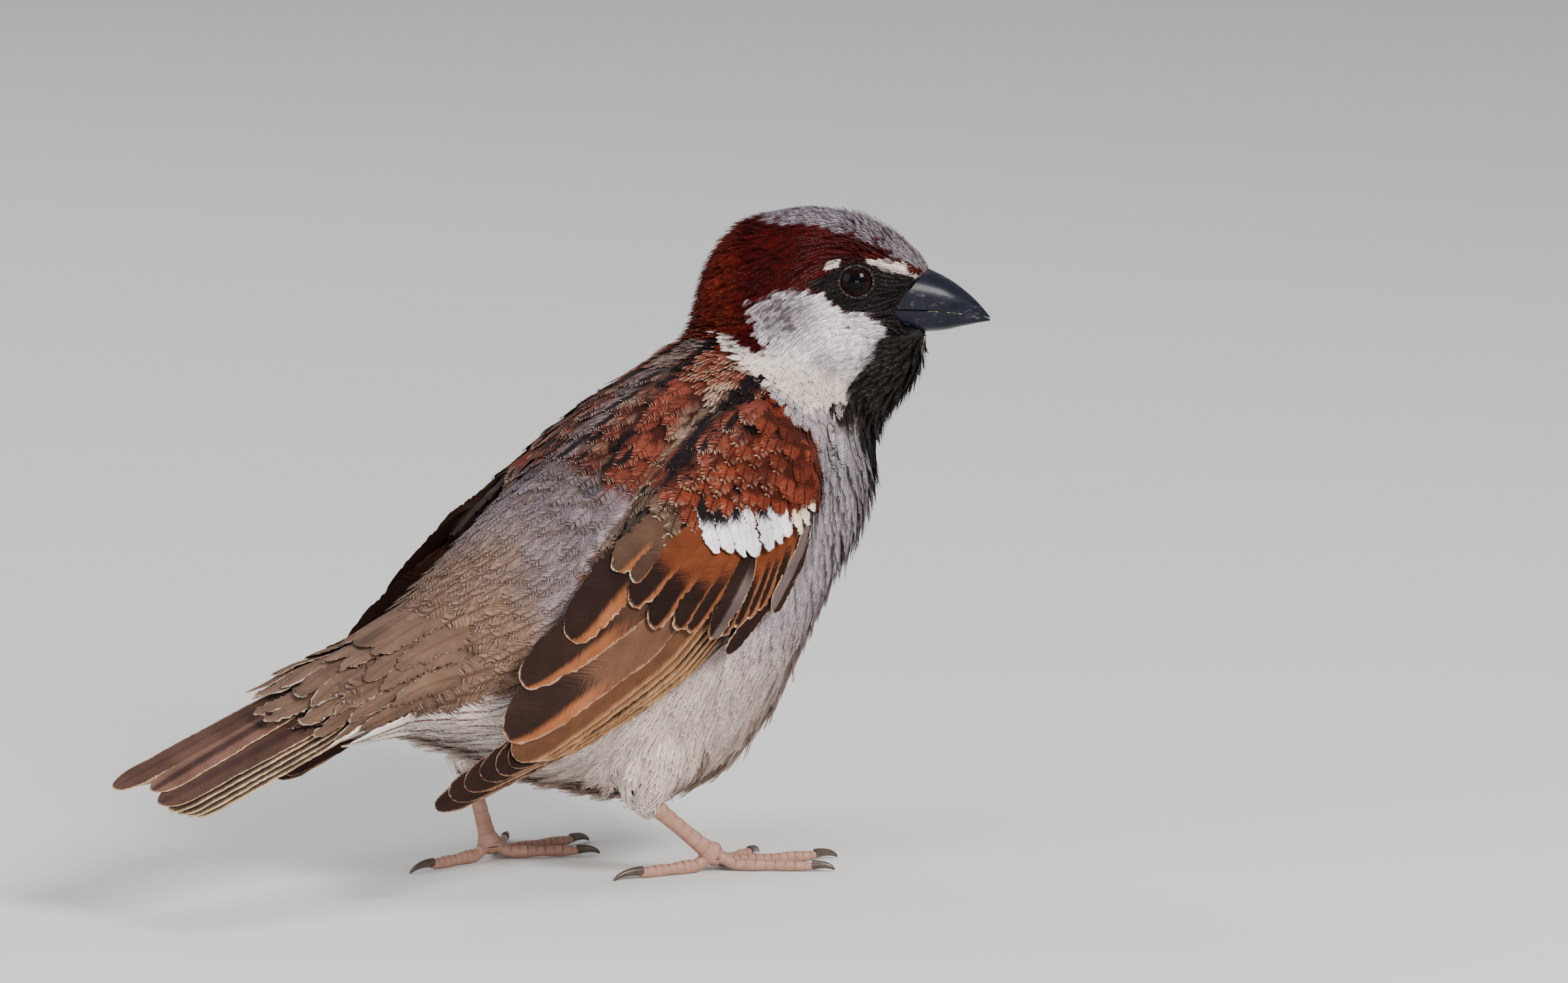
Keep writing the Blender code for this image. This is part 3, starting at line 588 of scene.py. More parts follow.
def meshFrom(bm, name, material=None):
    mesh = bpy.data.meshes.new(name)
    bm.to_mesh(mesh)
    bm.free()
    mesh.shade_smooth()
    if material:
        mesh.materials.append(material)
    return mesh


def inScene(name, data):
    made = bpy.data.objects.new(name, data)
    bpy.context.scene.collection.objects.link(made)
    return made


def joinedMesh(name, points, faces, material, values, uvPlaces):
    # points in bird millimetres, faces as rows of three; values and uv places are given for each point
    mesh = bpy.data.meshes.new(name)
    mesh.vertices.add(len(points))
    mesh.vertices.foreach_set("co", toModel(points).astype(np.float32).ravel())
    mesh.loops.add(faces.size)
    mesh.loops.foreach_set("vertex_index", faces.astype(np.int32).ravel())
    mesh.polygons.add(len(faces))
    mesh.polygons.foreach_set("loop_start", np.arange(0, faces.size, 3, dtype=np.int32))
    mesh.update(calc_edges=True)
    mesh.polygons.foreach_set("use_smooth", np.ones(len(faces), bool))
    for key, value in values.items():
        giveValues(mesh, key, value)
    layer = mesh.uv_layers.new(name="OFBake")
    layer.data.foreach_set("uv", uvPlaces[faces.ravel()].astype(np.float32).ravel())
    mesh.materials.append(material)
    made = inScene(name, mesh)
    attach(made, "root")
    return made


# the form under the plumage
skinPlan = {
    "sockets": ("eye_left", "eye_right"),
    "flesh": ("head", "neck", "trunk", "rump", "leg_left_thigh", "leg_right_thigh"),
    "wings": ("wing_left_coverts", "wing_left_secondaries", "wing_right_coverts", "wing_right_secondaries"),
    "tails": ("tail_left", "tail_right"),
    "swell": 0.00045,           # closes the thin cuts before remeshing
    "voxel": 0.00065, "drapeVoxel": 0.0008,
    "smoothing": 6,
    "headDepth": 0.8, "bodyDepth": 1.5,     # how far the skin lies inside the feathers' outline, mm
    "drapeShare": 0.45,         # the feathers are laid on a form this share of the depth inside
    "faceShare": 0.45,          # how much thinner the coat is round the bill and eyes
    "lowest": 0.2, "tone": 0.8,
    "mouthEdge": ((-6.5, 15.6), (-5.4, 14.0), (-4.9, 11.4), (-3.5, 10.9), (-2.1, 10.6), (-0.1, 12.2),
                  (2.3, 14.4), (4.0, 15.4)),    # up, and how far ahead the face reaches there
}


def swollenForm(name, nodes, voxel):
    # the named solids swollen until they touch, then made one skin of even faces
    whole = bmesh.new()
    for node in nodes:
        piece = bmesh.new()
        piece.from_mesh(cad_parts[node].data)
        bmesh.ops.remove_doubles(piece, verts=piece.verts, dist=1e-6)
        piece.normal_update()
        for vertex in piece.verts:
            vertex.co += vertex.normal * skinPlan["swell"]
        step = bpy.data.meshes.new("step")
        piece.to_mesh(step)
        piece.free()
        whole.from_mesh(step)
        bpy.data.meshes.remove(step)
    mesh = bpy.data.meshes.new(name)
    whole.to_mesh(mesh)
    whole.free()
    made = inScene(name, mesh)
    remesh = made.modifiers.new("even faces", "REMESH")
    remesh.mode = "VOXEL"
    remesh.voxel_size = voxel
    relax = made.modifiers.new("relax", "SMOOTH")
    relax.factor = 0.5
    relax.iterations = skinPlan["smoothing"]
    graph = bpy.context.evaluated_depsgraph_get()
    made.data = bpy.data.meshes.new_from_object(made.evaluated_get(graph), depsgraph=graph)
    made.modifiers.clear()
    return made


def reshaped(made, points, material):
    # a swollen form with new places and one material
    made.data.vertices.foreach_set("co", toModel(points).ravel())
    made.data.shade_smooth()
    made.data.materials.clear()
    made.data.materials.append(material)
    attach(made, "root")


def meshArrays(mesh):
    points = np.empty(len(mesh.vertices) * 3)
    normals = np.empty(len(mesh.vertices) * 3)
    mesh.vertices.foreach_get("co", points)
    mesh.vertices.foreach_get("normal", normals)
    return points.reshape(-1, 3), normals.reshape(-1, 3)


def coatDepth(points):
    # thinner on the head, and thinnest round the bill and eyes
    ahead, _, up = headPlace(points)
    head = smoothStep(-18, -8, up) * smoothStep(-20, -14, ahead + 4)
    face = smoothStep(2, 12, ahead) * smoothStep(-12, -8, up)
    depth = skinPlan["bodyDepth"] + (skinPlan["headDepth"] - skinPlan["bodyDepth"]) * head
    return depth * (1 - skinPlan["faceShare"] * face)


billPlan = {
    "culmen": ((9.4, 4.1), (10.5, 3.9), (13.0, 3.2), (15.2, 2.3), (17.3, 1.2), (19.5, -0.4), (21.3, -2.1),
               (22.7, -3.8)),
    "gape": ((9.4, -2.2), (10.5, -2.3), (13.3, -2.45), (16.4, -2.6), (18.8, -2.95), (20.6, -3.3),
             (22.7, -3.95)),
    "keel": ((9.4, -4.7), (10.5, -4.9), (13.0, -5.6), (15.3, -5.65), (16.9, -5.45), (18.8, -5.0),
             (20.6, -4.6), (22.4, -4.25)),
    "half": ((9.4, 4.9), (10.5, 4.7), (13.0, 4.0), (15.5, 3.3), (18.0, 2.45), (20.3, 1.3), (22.7, 0.22)),
    "roundness": (0.9, 0.75), "gap": 0.10, "thinnest": 0.22,
}


def billHalfAt(ahead, up):
    # half width of the closed bill at a height, with how far outside its outline that height is
    flat, half = easeTable(billPlan["gape"], ahead), easeTable(billPlan["half"], ahead)
    above = up > flat
    crest = np.where(above, easeTable(billPlan["culmen"], ahead), easeTable(billPlan["keel"], ahead))
    share = (up - flat) / (crest - flat)
    power = np.where(above, *billPlan["roundness"])
    t = np.arcsin(np.clip(share, 0, 1) ** (1 / power))
    return half * np.cos(t), np.maximum(share - 1, 0) * np.abs(crest - flat)


def pinchedAtMouth(points):
    # the face narrows to let the bill out
    ahead, left, up = headPlace(points)
    half, beyond = billHalfAt(ahead, up)
    edge = readTable(skinPlan["mouthEdge"], up)
    amount = smoothStep(-1.1, 0.1, ahead - edge) * smoothStep(0.7, 0.0, beyond)
    over = np.maximum(np.abs(left) - np.maximum(half - 0.5, 0), 0) * amount
    return points - (np.sign(left) * over)[:, None] * headLeft


def buildSkin():
    made = swollenForm("skin", skinPlan["flesh"] + skinPlan["sockets"], skinPlan["voxel"])
    points, normals = meshArrays(made.data)
    points = toBird(points)
    points -= normals * (coatDepth(points) + skinPlan["swell"] * 1000)[:, None]
    points = pinchedAtMouth(points)
    points[:, 2] = np.maximum(points[:, 2], skinPlan["lowest"])
    giveValues(made.data, "tint", bodyMarkings(points)[0] * skinPlan["tone"])
    reshaped(made, points, skinMaterial())
    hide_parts(*skinPlan["flesh"])
    return made


skin = buildSkin()
print("skin laid inside the plumage:", len(skin.data.polygons), "faces")

drapeNodes = sum((skinPlan[key] for key in ("flesh", "sockets", "wings", "tails")), ())
drape = swollenForm("drape", drapeNodes, skinPlan["drapeVoxel"])
drapePoints, drapeNormals = meshArrays(drape.data)
drapePoints = toBird(drapePoints)
drapeSink = coatDepth(drapePoints) * skinPlan["drapeShare"] + skinPlan["swell"] * 1000
drapePoints = pinchedAtMouth(drapePoints - drapeNormals * drapeSink[:, None])
drapeFaces = [tuple(polygon.vertices) for polygon in drape.data.polygons]
drapeTree = BVHTree.FromPolygons([Vector(p) for p in drapePoints], drapeFaces)
bpy.data.objects.remove(drape)


def nearestOn(points):
    places, normals = np.empty((len(points), 3)), np.empty((len(points), 3))
    for i, point in enumerate(points):
        place, normal, _, _ = drapeTree.find_nearest(Vector(point))
        places[i], normals[i] = place, normal
    return places, normals


# the lie of the plumage
spine = np.array([headPoint(17, 0, -2.5), headPoint(8, 0, -2.2), headPoint(-2, 0, -1.5), (31.0, -2.2, 67.5),
                  (28.0, 0, 59.5), (16.2, 0, 47.0), (-1.7, 0, 30.0), (-25.0, 0, 27.5), (-42.2, 0, 26.0),
                  (-78.0, 0, 14.5)])
thighLines = (((0.0, -12.0, 18.0), (-2.6, -13.0, 9.0)), ((-9.0, 12.0, 20.0), (-12.9, 13.0, 11.6)))
lieLines = [(spine[i], spine[i + 1]) for i in range(len(spine) - 1)]
lieLines += [(np.array(a), np.array(b)) for a, b in thighLines]


def lieOfFeathers(points, normals):
    # each line of the body draws the feathers near it along its own way
    total = np.zeros((len(points), 3))
    for start, end in lieLines:
        way = end - start
        t = np.clip(((points - start) @ way) / (way @ way), 0, 1)
        away = np.linalg.norm(points - start - t[:, None] * way, axis=1)
        total += (way / np.linalg.norm(way)) * (1 / (away**4 + 1))[:, None]
    along, across = wingPlace(points)
    side = np.sign(points[:, 1])
    onWing = (smoothStep(8, 12, np.abs(points[:, 1])) * smoothStep(-5, -1, along) * smoothStep(40, 30, along)
              * smoothStep(-12, -6, across) * smoothStep(22, 17, across) * smoothStep(30, 36, points[:, 2]))
    steep = smoothStep(14, 2, across)
    wayAlong, wayAcross = 0.92 - 0.30 * steep, -0.38 - 0.38 * steep
    lying = np.stack([wayAlong * wingBack[0] + wayAcross * wingRise[0], 0 * side,
                      wayAlong * wingBack[1] + wayAcross * wingRise[1]], axis=1)
    total /= np.linalg.norm(total, axis=1, keepdims=True)
    total += (lying - total) * onWing[:, None]
    total -= normals * np.sum(total * normals, axis=1, keepdims=True)
    return total / np.maximum(np.linalg.norm(total, axis=1, keepdims=True), 1e-6)


def bakePlace(points):
    # an unwrap of the skin: round the spine one way, from bill to tail the other
    best = np.full(len(points), 1e9)
    reach, turn = np.zeros(len(points)), np.zeros(len(points))
    lengths = np.linalg.norm(np.diff(spine, axis=0), axis=1)
    before = np.concatenate([[0], np.cumsum(lengths)])
    for i in range(len(spine) - 1):
        way = (spine[i + 1] - spine[i]) / lengths[i]
        t = np.clip((points - spine[i]) @ way, 0, lengths[i])
        away = points - spine[i] - t[:, None] * way
        distance = np.linalg.norm(away, axis=1)
        level = np.array([-way[1], way[0], 0]) if abs(way[2]) < 0.95 else np.array([0, 1.0, 0])
        level = level / np.linalg.norm(level)
        over = np.cross(way, level)
        nearer = distance < best
        best[nearer] = distance[nearer]
        reach[nearer] = (before[i] + t)[nearer]
        turn[nearer] = np.arctan2(away @ level, away @ over)[nearer]
    return np.stack([0.02 + 0.96 * (turn / (2 * math.pi) + 0.5), 0.02 + 0.96 * reach / before[-1]], axis=1)


# feather shapes
def vaneHalf(v, blunt):
    # half width of a body feather from root to tip, as a share of its widest
    return np.sin(np.pi * np.clip(v, 0, 1) ** 0.80) ** blunt


offRim = 9.0    # as far from a barb's end as makes no fringe


def featherShape(plan, seed):
    # a soft plate with separate barbs over it: (side, along, lift), tone and way to its barb's end of each
    # corner, and the faces
    draw = np.random.default_rng(seed)
    corners, tones, faces, ends = [], [], [], []
    blunt = plan["blunt"]
    columns = np.linspace(-plan["plateWide"], plan["plateWide"], plan["columns"])
    for v in np.linspace(0.0, plan["plateEnd"], plan["rows"]):
        for u in columns:
            corners.append((u * vaneHalf(max(v, 0.03), blunt), v, -0.10 * abs(u)))
            tones.append(plan["plateTone"])
            ends.append(offRim)
    for i in range(plan["rows"] - 1):
        for j in range(len(columns) - 1):
            a, b = i * len(columns) + j, (i + 1) * len(columns) + j
            faces += [(a, a + 1, b + 1), (a, b + 1, b)]
    first, last = plan["span"]
    aspect = plan["half"] / plan["length"]
    for side in (-1, 1):
        for k in range(plan["barbs"]):
            v0 = first + (last - first) * (k + draw.uniform(0.2, 0.8)) / plan["barbs"]
            v1 = min(v0 + (1.02 - v0) * plan["lean"] + draw.uniform(-0.02, 0.03), 1.06)
            reach = vaneHalf(min(v1, 0.975), blunt) * (1.0 + plan["ragged"] * draw.uniform(-1, 0.6)) + 0.02
            lift = draw.uniform(0.02, 0.14)
            tone = 1.0 + plan["barbTone"] * draw.normal()
            track = [(side * reach * t, v0 + (v1 - v0) * t**1.2) for t in (0.0, 0.5, 1.0)]
            way = np.array([(track[2][0] - track[0][0]) * aspect, track[2][1] - track[0][1]])
            way /= np.linalg.norm(way)
            offset = np.array([-way[1] / aspect, way[0]]) * plan["thick"] / plan["length"]
            start = len(corners)
            for (u, v), wide, tilt in zip(track[:2], (0.7, 1.0), (0.0, 0.04)):
                corners.append((u - offset[0] * wide, v - offset[1] * wide, lift - 0.08 * abs(u)))
                corners.append((u + offset[0] * wide, v + offset[1] * wide, lift - 0.08 * abs(u) + tilt))
            corners.append((*track[2], lift * 0.7 - 0.08 * reach))
            tones += [tone] * 5
            spread = math.hypot(track[2][0] * plan["half"], (v1 - v0) * plan["length"])
            short = 1.2 * smoothStep(0.78, 0.62, v1) + (0 if draw.random() < plan["pale"] else 1.2)
            ends += [(1 - t) * spread * 0.5 + short for t in (0.0, 0.0, 0.5, 0.5, 1.0)]
            faces += [(start, start + 1, start + 3), (start, start + 3, start + 2),
                      (start + 2, start + 3, start + 4)]
            if side == 1:
                faces[-3:] = [face[::-1] for face in faces[-3:]]
    shaft = len(corners)
    for v, half in ((first, 0.05), (0.6, 0.035), (1.0, 0.006)):
        corners += [(-half, v, 0.14), (half, v, 0.14)]
        tones += [0.85] * 2
        ends += [offRim] * 2
    for i in (0, 2):
        a = shaft + i
        faces += [(a, a + 1, a + 3), (a, a + 3, a + 2)]
    return np.array(corners), np.array(tones), np.array(ends), np.array(faces)


def scatteredRoots(spacing, wanted, seed):
    # places at least spacing apart on the faces that wanted() takes
    draw = np.random.default_rng(seed)
    quads = np.array([face if len(face) == 4 else (*face, face[2]) for face in drapeFaces])
    middles = drapePoints[quads].mean(axis=1)
    chosen = np.flatnonzero(wanted(middles))
    if not len(chosen):
        return np.empty((0, 3))
    corner = drapePoints[quads[chosen]]
    areas = (np.linalg.norm(np.cross(corner[:, 1] - corner[:, 0], corner[:, 2] - corner[:, 0]), axis=1)
             + np.linalg.norm(np.cross(corner[:, 2] - corner[:, 0], corner[:, 3] - corner[:, 0]), axis=1)) / 2
    count = int(areas.sum() / spacing**2 * 4)
    picks = draw.choice(len(chosen), count, p=areas / areas.sum())
    s, t = draw.uniform(size=(2, count, 1))
    spots = ((corner[picks, 0] * (1 - s) + corner[picks, 1] * s) * (1 - t)
             + (corner[picks, 3] * (1 - s) + corner[picks, 2] * s) * t)
    grid = KDTree(count)
    for i, spot in enumerate(spots):
        grid.insert(spot, i)
    grid.balance()
    dropped = np.zeros(count, bool)
    for i, spot in enumerate(spots):
        if not dropped[i]:
            for _, other, _ in grid.find_range(spot, spacing):
                if other > i:
                    dropped[other] = True
    return spots[~dropped]


eyePlan = {"ball": 2.9, "clear": 2.2, "rim": 3.5, "raise": 0.2, "opening": 2.02, "pupil": (0.40, 0.46)}
eyeMiddles, eyeOutwards = [], []
for eyeName, side in (("eye_left", 1), ("eye_right", -1)):
    lowCorner, highCorner = (toBird(np.array([corner]))[0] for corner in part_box(eyeName))
    eyeMiddles.append((lowCorner + highCorner) / 2 + (0, 0, eyePlan["raise"]))
    outward = headPoint(0.12, side, 0.05) - headPoint(0, 0, 0)
    eyeOutwards.append(outward / np.linalg.norm(outward))


def fromEye(points, middle, outward):
    # how far points lie from the eye's axis, and how far out along it
    away = points - middle
    return np.linalg.norm(away - (away @ outward)[:, None] * outward, axis=1), away @ outward


def trimForEyes(roots, ways, lengths):
    # feathers stop short of the eyes
    for middle, outward in zip(eyeMiddles, eyeOutwards):
        for share in (0.2, 0.4, 0.6, 0.8, 1.0, 1.1):
            flat, above = fromEye(roots + ways * (lengths * share)[:, None], middle, outward)
            covered = (flat < eyePlan["clear"]) & (above > 0)
            lengths = np.where(covered, lengths * max(share - 0.10, 0.01), lengths)
    return lengths


def trimForWings(roots, ways, lengths):
    # feathers of the flanks end before the folded wings
    for share in (0.3, 0.5, 0.7, 0.9, 1.1):
        tips = roots + ways * (lengths * share)[:, None]
        along, across = wingPlace(tips)
        over = (insideDistance(markings["foldedWing"], along, across) < 1.0) & (np.abs(tips[:, 1]) > 13.0)
        lengths = np.where(over & (tips[:, 2] > 14) & (across < 1.0), lengths * (share - 0.15), lengths)
    return lengths


looseLift = {"nape": 1.5, "forehead": 0.9, "chest": 1.3, "chin": 1.1}


def extraLift(points):
    # loose feathers over the nape, the forehead, the upper breast and the chin
    ahead, _, up = headPlace(points)
    nape = smoothStep(-3, -9, ahead) * smoothStep(-8, -2, up) * (points[:, 2] > 66)
    forehead = smoothStep(3, 8, ahead) * smoothStep(14.5, 11.5, ahead) * smoothStep(3, 6, up)
    height = points[:, 2]
    chest = smoothStep(42, 47, height) * smoothStep(60, 56, height) * smoothStep(24, 30, points[:, 0])
    chin = smoothStep(6, 10, ahead) * smoothStep(-4.5, -7, up) * smoothStep(-20, -15, up) * (height > 55)
    return (looseLift["nape"] * nape + looseLift["forehead"] * forehead + looseLift["chest"] * chest
            + looseLift["chin"] * chin)


def layPlumage(name, roots, plan, material, seed):
    # lays one feather shape over every root, following the form and the lie
    draw = np.random.default_rng(seed)
    shape, tones, ends, faces = featherShape(plan, seed)
    roots, normals = nearestOn(roots)
    ways = lieOfFeathers(roots, normals)
    ways += np.cross(normals, ways) * draw.normal(0, plan["stray"], len(roots))[:, None]
    lengths = trimForEyes(roots, ways, plan["length"] * draw.uniform(*plan["lengths"], len(roots)))
    if plan["wingTrim"]:
        lengths = trimForWings(roots, ways, lengths)
    keep = lengths > plan["shortest"] * plan["length"]
    roots, normals, ways, lengths = roots[keep], normals[keep], ways[keep], lengths[keep]
    halves = plan["half"] * draw.uniform(*plan["halves"], len(roots))
    halves *= np.clip(lengths / plan["length"], 0.5, 1.2)
    lifts = plan["lift"] * draw.uniform(*plan["lifts"], len(roots)) + extraLift(roots)
    n, k = len(roots), len(shape)
    # four rows of three places on the form carry each feather
    lattice, latticeNormals = np.empty((n, 4, 3, 3)), np.empty((n, 4, 3, 3))
    place, normal, way = roots, normals, ways
    for i in range(4):
        if i:
            place, normal = nearestOn(place + way * (lengths / 3)[:, None])
            way = way * 0.6 + lieOfFeathers(place, normal) * 0.4
            way -= normal * np.sum(way * normal, axis=1, keepdims=True)
            way /= np.maximum(np.linalg.norm(way, axis=1, keepdims=True), 1e-6)
        sideways = np.cross(normal, way)
        lattice[:, i, 1], latticeNormals[:, i, 1] = place, normal
        for j, sign in ((0, -1), (2, 1)):
            lattice[:, i, j], latticeNormals[:, i, j] = nearestOn(place + sideways * (sign * halves)[:, None])
    facing = np.einsum("nijx,nx->nij", latticeNormals, normals).reshape(n, 12)
    smooth = np.min(facing, axis=1) > plan["fold"]
    lattice, latticeNormals, roots, lengths, halves, lifts = (
        values[smooth] for values in (lattice, latticeNormals, roots, lengths, halves, lifts))
    n = len(roots)
    u, v, w = shape.T
    t = np.clip(v, 0, 1.08) * 3
    rowWeights = np.stack([-(t - 1) * (t - 2) * (t - 3) / 6, t * (t - 2) * (t - 3) / 2,
                           -t * (t - 1) * (t - 3) / 2, t * (t - 1) * (t - 2) / 6], axis=1)
    columnWeights = np.stack([u * (u - 1) / 2, 1 - u * u, u * (u + 1) / 2], axis=1)
    weights = (rowWeights[:, :, None] * columnWeights[:, None, :]).reshape(k, 12)
    points = np.einsum("kc,ncx->nkx", weights, lattice.reshape(n, 12, 3))
    out = np.einsum("kc,ncx->nkx", weights, latticeNormals.reshape(n, 12, 3))
    out /= np.maximum(np.linalg.norm(out, axis=2, keepdims=True), 1e-6)
    rise = plan["start"] + lifts[:, None] * v[None, :] ** 1.3 + plan["puff"] * w[None, :]
    loose = plan["flare"] * np.clip(v - 0.6, 0, 1)[None, :] ** 2
    rise = rise + loose * draw.uniform(0, 1, n)[:, None] ** 3
    points += out * rise[:, :, None]
    tint, streak, fringe, base = bodyMarkings(lattice[:, 2, 1])
    ownTone = (1 + draw.normal(0, plan["tone"], n))[:, None]
    tint = np.clip(tint * ownTone, 0.002, 1)
    whole = (np.arange(n) * k)[:, None, None] + faces[None]
    vane = np.empty((n, k, 3))
    vane[:, :, 0], vane[:, :, 1] = np.abs(u), v
    vane[:, :, 2] = lengths[:, None] * v - halves[:, None] * np.abs(u) * 0.8

    def toCorners(value):
        return np.repeat(value[:, None, :], k, axis=1).reshape(n * k, -1)

    cornerTint = toCorners(tint)
    if plan["banded"]:      # bands of the back run on from feather to feather
        placed = bodyMarkings(points.reshape(-1, 3))[0] * np.repeat(ownTone, k, axis=0)
        cornerTint = np.clip(cornerTint * (1 - plan["banded"]) + placed * plan["banded"], 0.002, 1)
    patches = np.repeat(bakePlace(roots)[:, None, :], k, axis=1)
    patches = patches + np.stack([u * 0.0015, (v - 0.5) * 0.003], axis=1)[None]
    values = {"tint": cornerTint * np.tile(tones, n)[:, None], "streak": toCorners(streak),
              "fringe": toCorners(fringe), "base": toCorners(base), "vaneAt": vane.reshape(-1, 3),
              "rim": np.tile(ends, n)}
    made = joinedMesh(name, points.reshape(-1, 3), whole.reshape(-1, 3), material, values,
                      patches.reshape(-1, 2))
    print(name, n, "feathers,", n * len(faces), "triangles")
    return made


# tracts of the body, each with its own feathers
# How far out and sideways a place must be open; the share grows from the rump towards the breast.
openPlan = {"outward": 2.0, "sideways": 2.2, "share": ((-16.0, 0.4), (-6.0, 1.0)), "start": 0.5,
            "freeBelow": 17.0, "freeBack": -30.0}


def openPlaces(points):
    # leaves out the crevices between the wings and the flanks
    kept = np.ones(len(points), bool)
    places, normals = nearestOn(points)
    for i, (place, normal) in enumerate(zip(places, normals)):
        if place[2] < openPlan["freeBelow"] and place[0] > openPlan["freeBack"]:
            continue
        start = Vector(place + normal * openPlan["start"])
        share = readTable(openPlan["share"], place[0])
        sideways = (0, math.copysign(1, place[1]), 0)
        for direction, reach in ((normal, openPlan["outward"]), (sideways, openPlan["sideways"])):
            if drapeTree.ray_cast(start, Vector(direction), reach * share)[0] is not None:
                kept[i] = False
                break
    return points[kept]


# Where the tracts begin: places along the body, heights, and distances from the lines of the thighs.
tractBorders = {"breast": 33.0, "mantle": -9.0, "rump": -24.0, "vent": -22.0, "tailCoverts": -39.0,
                "end": (-49.0, -46.0), "thigh": {"away": 5.2, "top": 16.0, "out": 8.5},
                "throat": {"low": 58.0, "up": -9.0}, "hindNeck": {"low": 60.0, "top": 69.0, "front": 12.0},
                "head": {"up": -9.5, "low": 63.0, "back": -17.0, "hindLow": 68.0}}


def tractOf(points):
    x, y, z = points.T
    ahead, left, up = headPlace(points)
    along, across = wingPlace(points)
    side = np.abs(y)
    names = np.full(len(points), "belly", dtype="<U12")
    names[z > tractBorders["breast"]] = "breast"
    upper = z > readTable(backBorder, x)
    names[upper] = "back"
    names[upper & (x > tractBorders["mantle"] + 0.1 * side)] = "mantle"
    names[upper & (x < tractBorders["rump"])] = "rump"
    names[~upper & (x < tractBorders["vent"])] = "vent"
    names[x < tractBorders["tailCoverts"]] = "tailCoverts"
    names[x < np.where(upper, *tractBorders["end"])] = "none"
    thigh, throat, neck, head = (tractBorders[key] for key in ("thigh", "throat", "hindNeck", "head"))
    for (start, end), sign in zip(thighLines, (-1, 1)):
        way = np.array(end) - np.array(start)
        t = np.clip(((points - start) @ way) / (way @ way), 0, 1)
        away = np.linalg.norm(points - start - t[:, None] * way, axis=1)
        names[(away < thigh["away"]) & (z < thigh["top"]) & (y * sign > thigh["out"])] = "thigh"
    names[(z > throat["low"]) & (up < throat["up"]) & ~upper] = "neck"
    names[upper & (z > neck["low"]) & (z < neck["top"]) & (x > neck["front"])] = "neck"
    onHead = (up > head["up"] - 0.15 * ahead) & (z > head["low"]) & (ahead > head["back"])
    names[onHead & ((z > head["hindLow"]) | ~upper)] = "head"
    for middle, outward in zip(eyeMiddles, eyeOutwards):
        flat, above = fromEye(points, middle, outward)
        names[(flat < eyePlan["rim"]) & (above > -1.0)] = "eyeRim"
    onWing = (side > shoulderPlan["out"]) & (along > -4) & (along < shoulderPlan["back"])
    onWing &= z > shoulderPlan["low"]
    overBar = onWing & (insideDistance(markings["wingBar"], along, across) > 0) & (across > 0)
    reach = easeTable(wing["out"], along) - wing["rounding"] * (across + 3.0) ** 2
    wingOut = np.where((along < 14) | (across < 0.5), shoulderPlan["out"], reach - 3.0)
    covered = (side > wingOut) & (z > 14) & (along > -2) & (along < 62) & ~overBar
    covered &= insideDistance(markings["foldedWing"], along, across) < 0
    names[covered] = "none"
    lesser = (across < shoulderPlan["lesserAcross"]) & (along < 21)
    names[overBar & lesser & (along > -2.5)] = "shoulder"
    names[overBar & ~lesser & (across < shoulderPlan["scapularAcross"]) & (side > 11)] = "scapular"
    names[(ahead > readTable(skinPlan["mouthEdge"], up) - 0.5) & (np.abs(left) < 6.5)] = "none"
    return names


# What the tracts share; a tract's own plan takes the place of these.
tractCommon = {"columns": 5, "plateEnd": 0.88, "plateWide": 0.88, "pale": 0.5, "blunt": 0.62, "puff": 0.6,
               "span": (0.25, 0.965), "fold": 0.1, "start": 0.0, "flare": 0.0, "banded": 0.0,
               "wingTrim": False, "shortest": 0.16, "lengths": (0.84, 1.16), "halves": (0.86, 1.14),
               "lifts": (0.7, 1.3)}
shortCoat = {"rows": 2, "columns": 3, "plateEnd": 0.7, "plateWide": 0.8, "plateTone": 0.6, "puff": 0.5,
             "span": (0.22, 0.85), "lean": 0.75, "ragged": 0.7, "barbTone": 0.22, "slot": "crown_grey"}
looseCoat = {"rows": 4, "plateEnd": 0.78, "plateWide": 0.8, "plateTone": 0.75, "span": (0.2, 0.93),
             "barbTone": 0.2, "slot": "belly_grey", "fold": -0.5, "wingTrim": True}
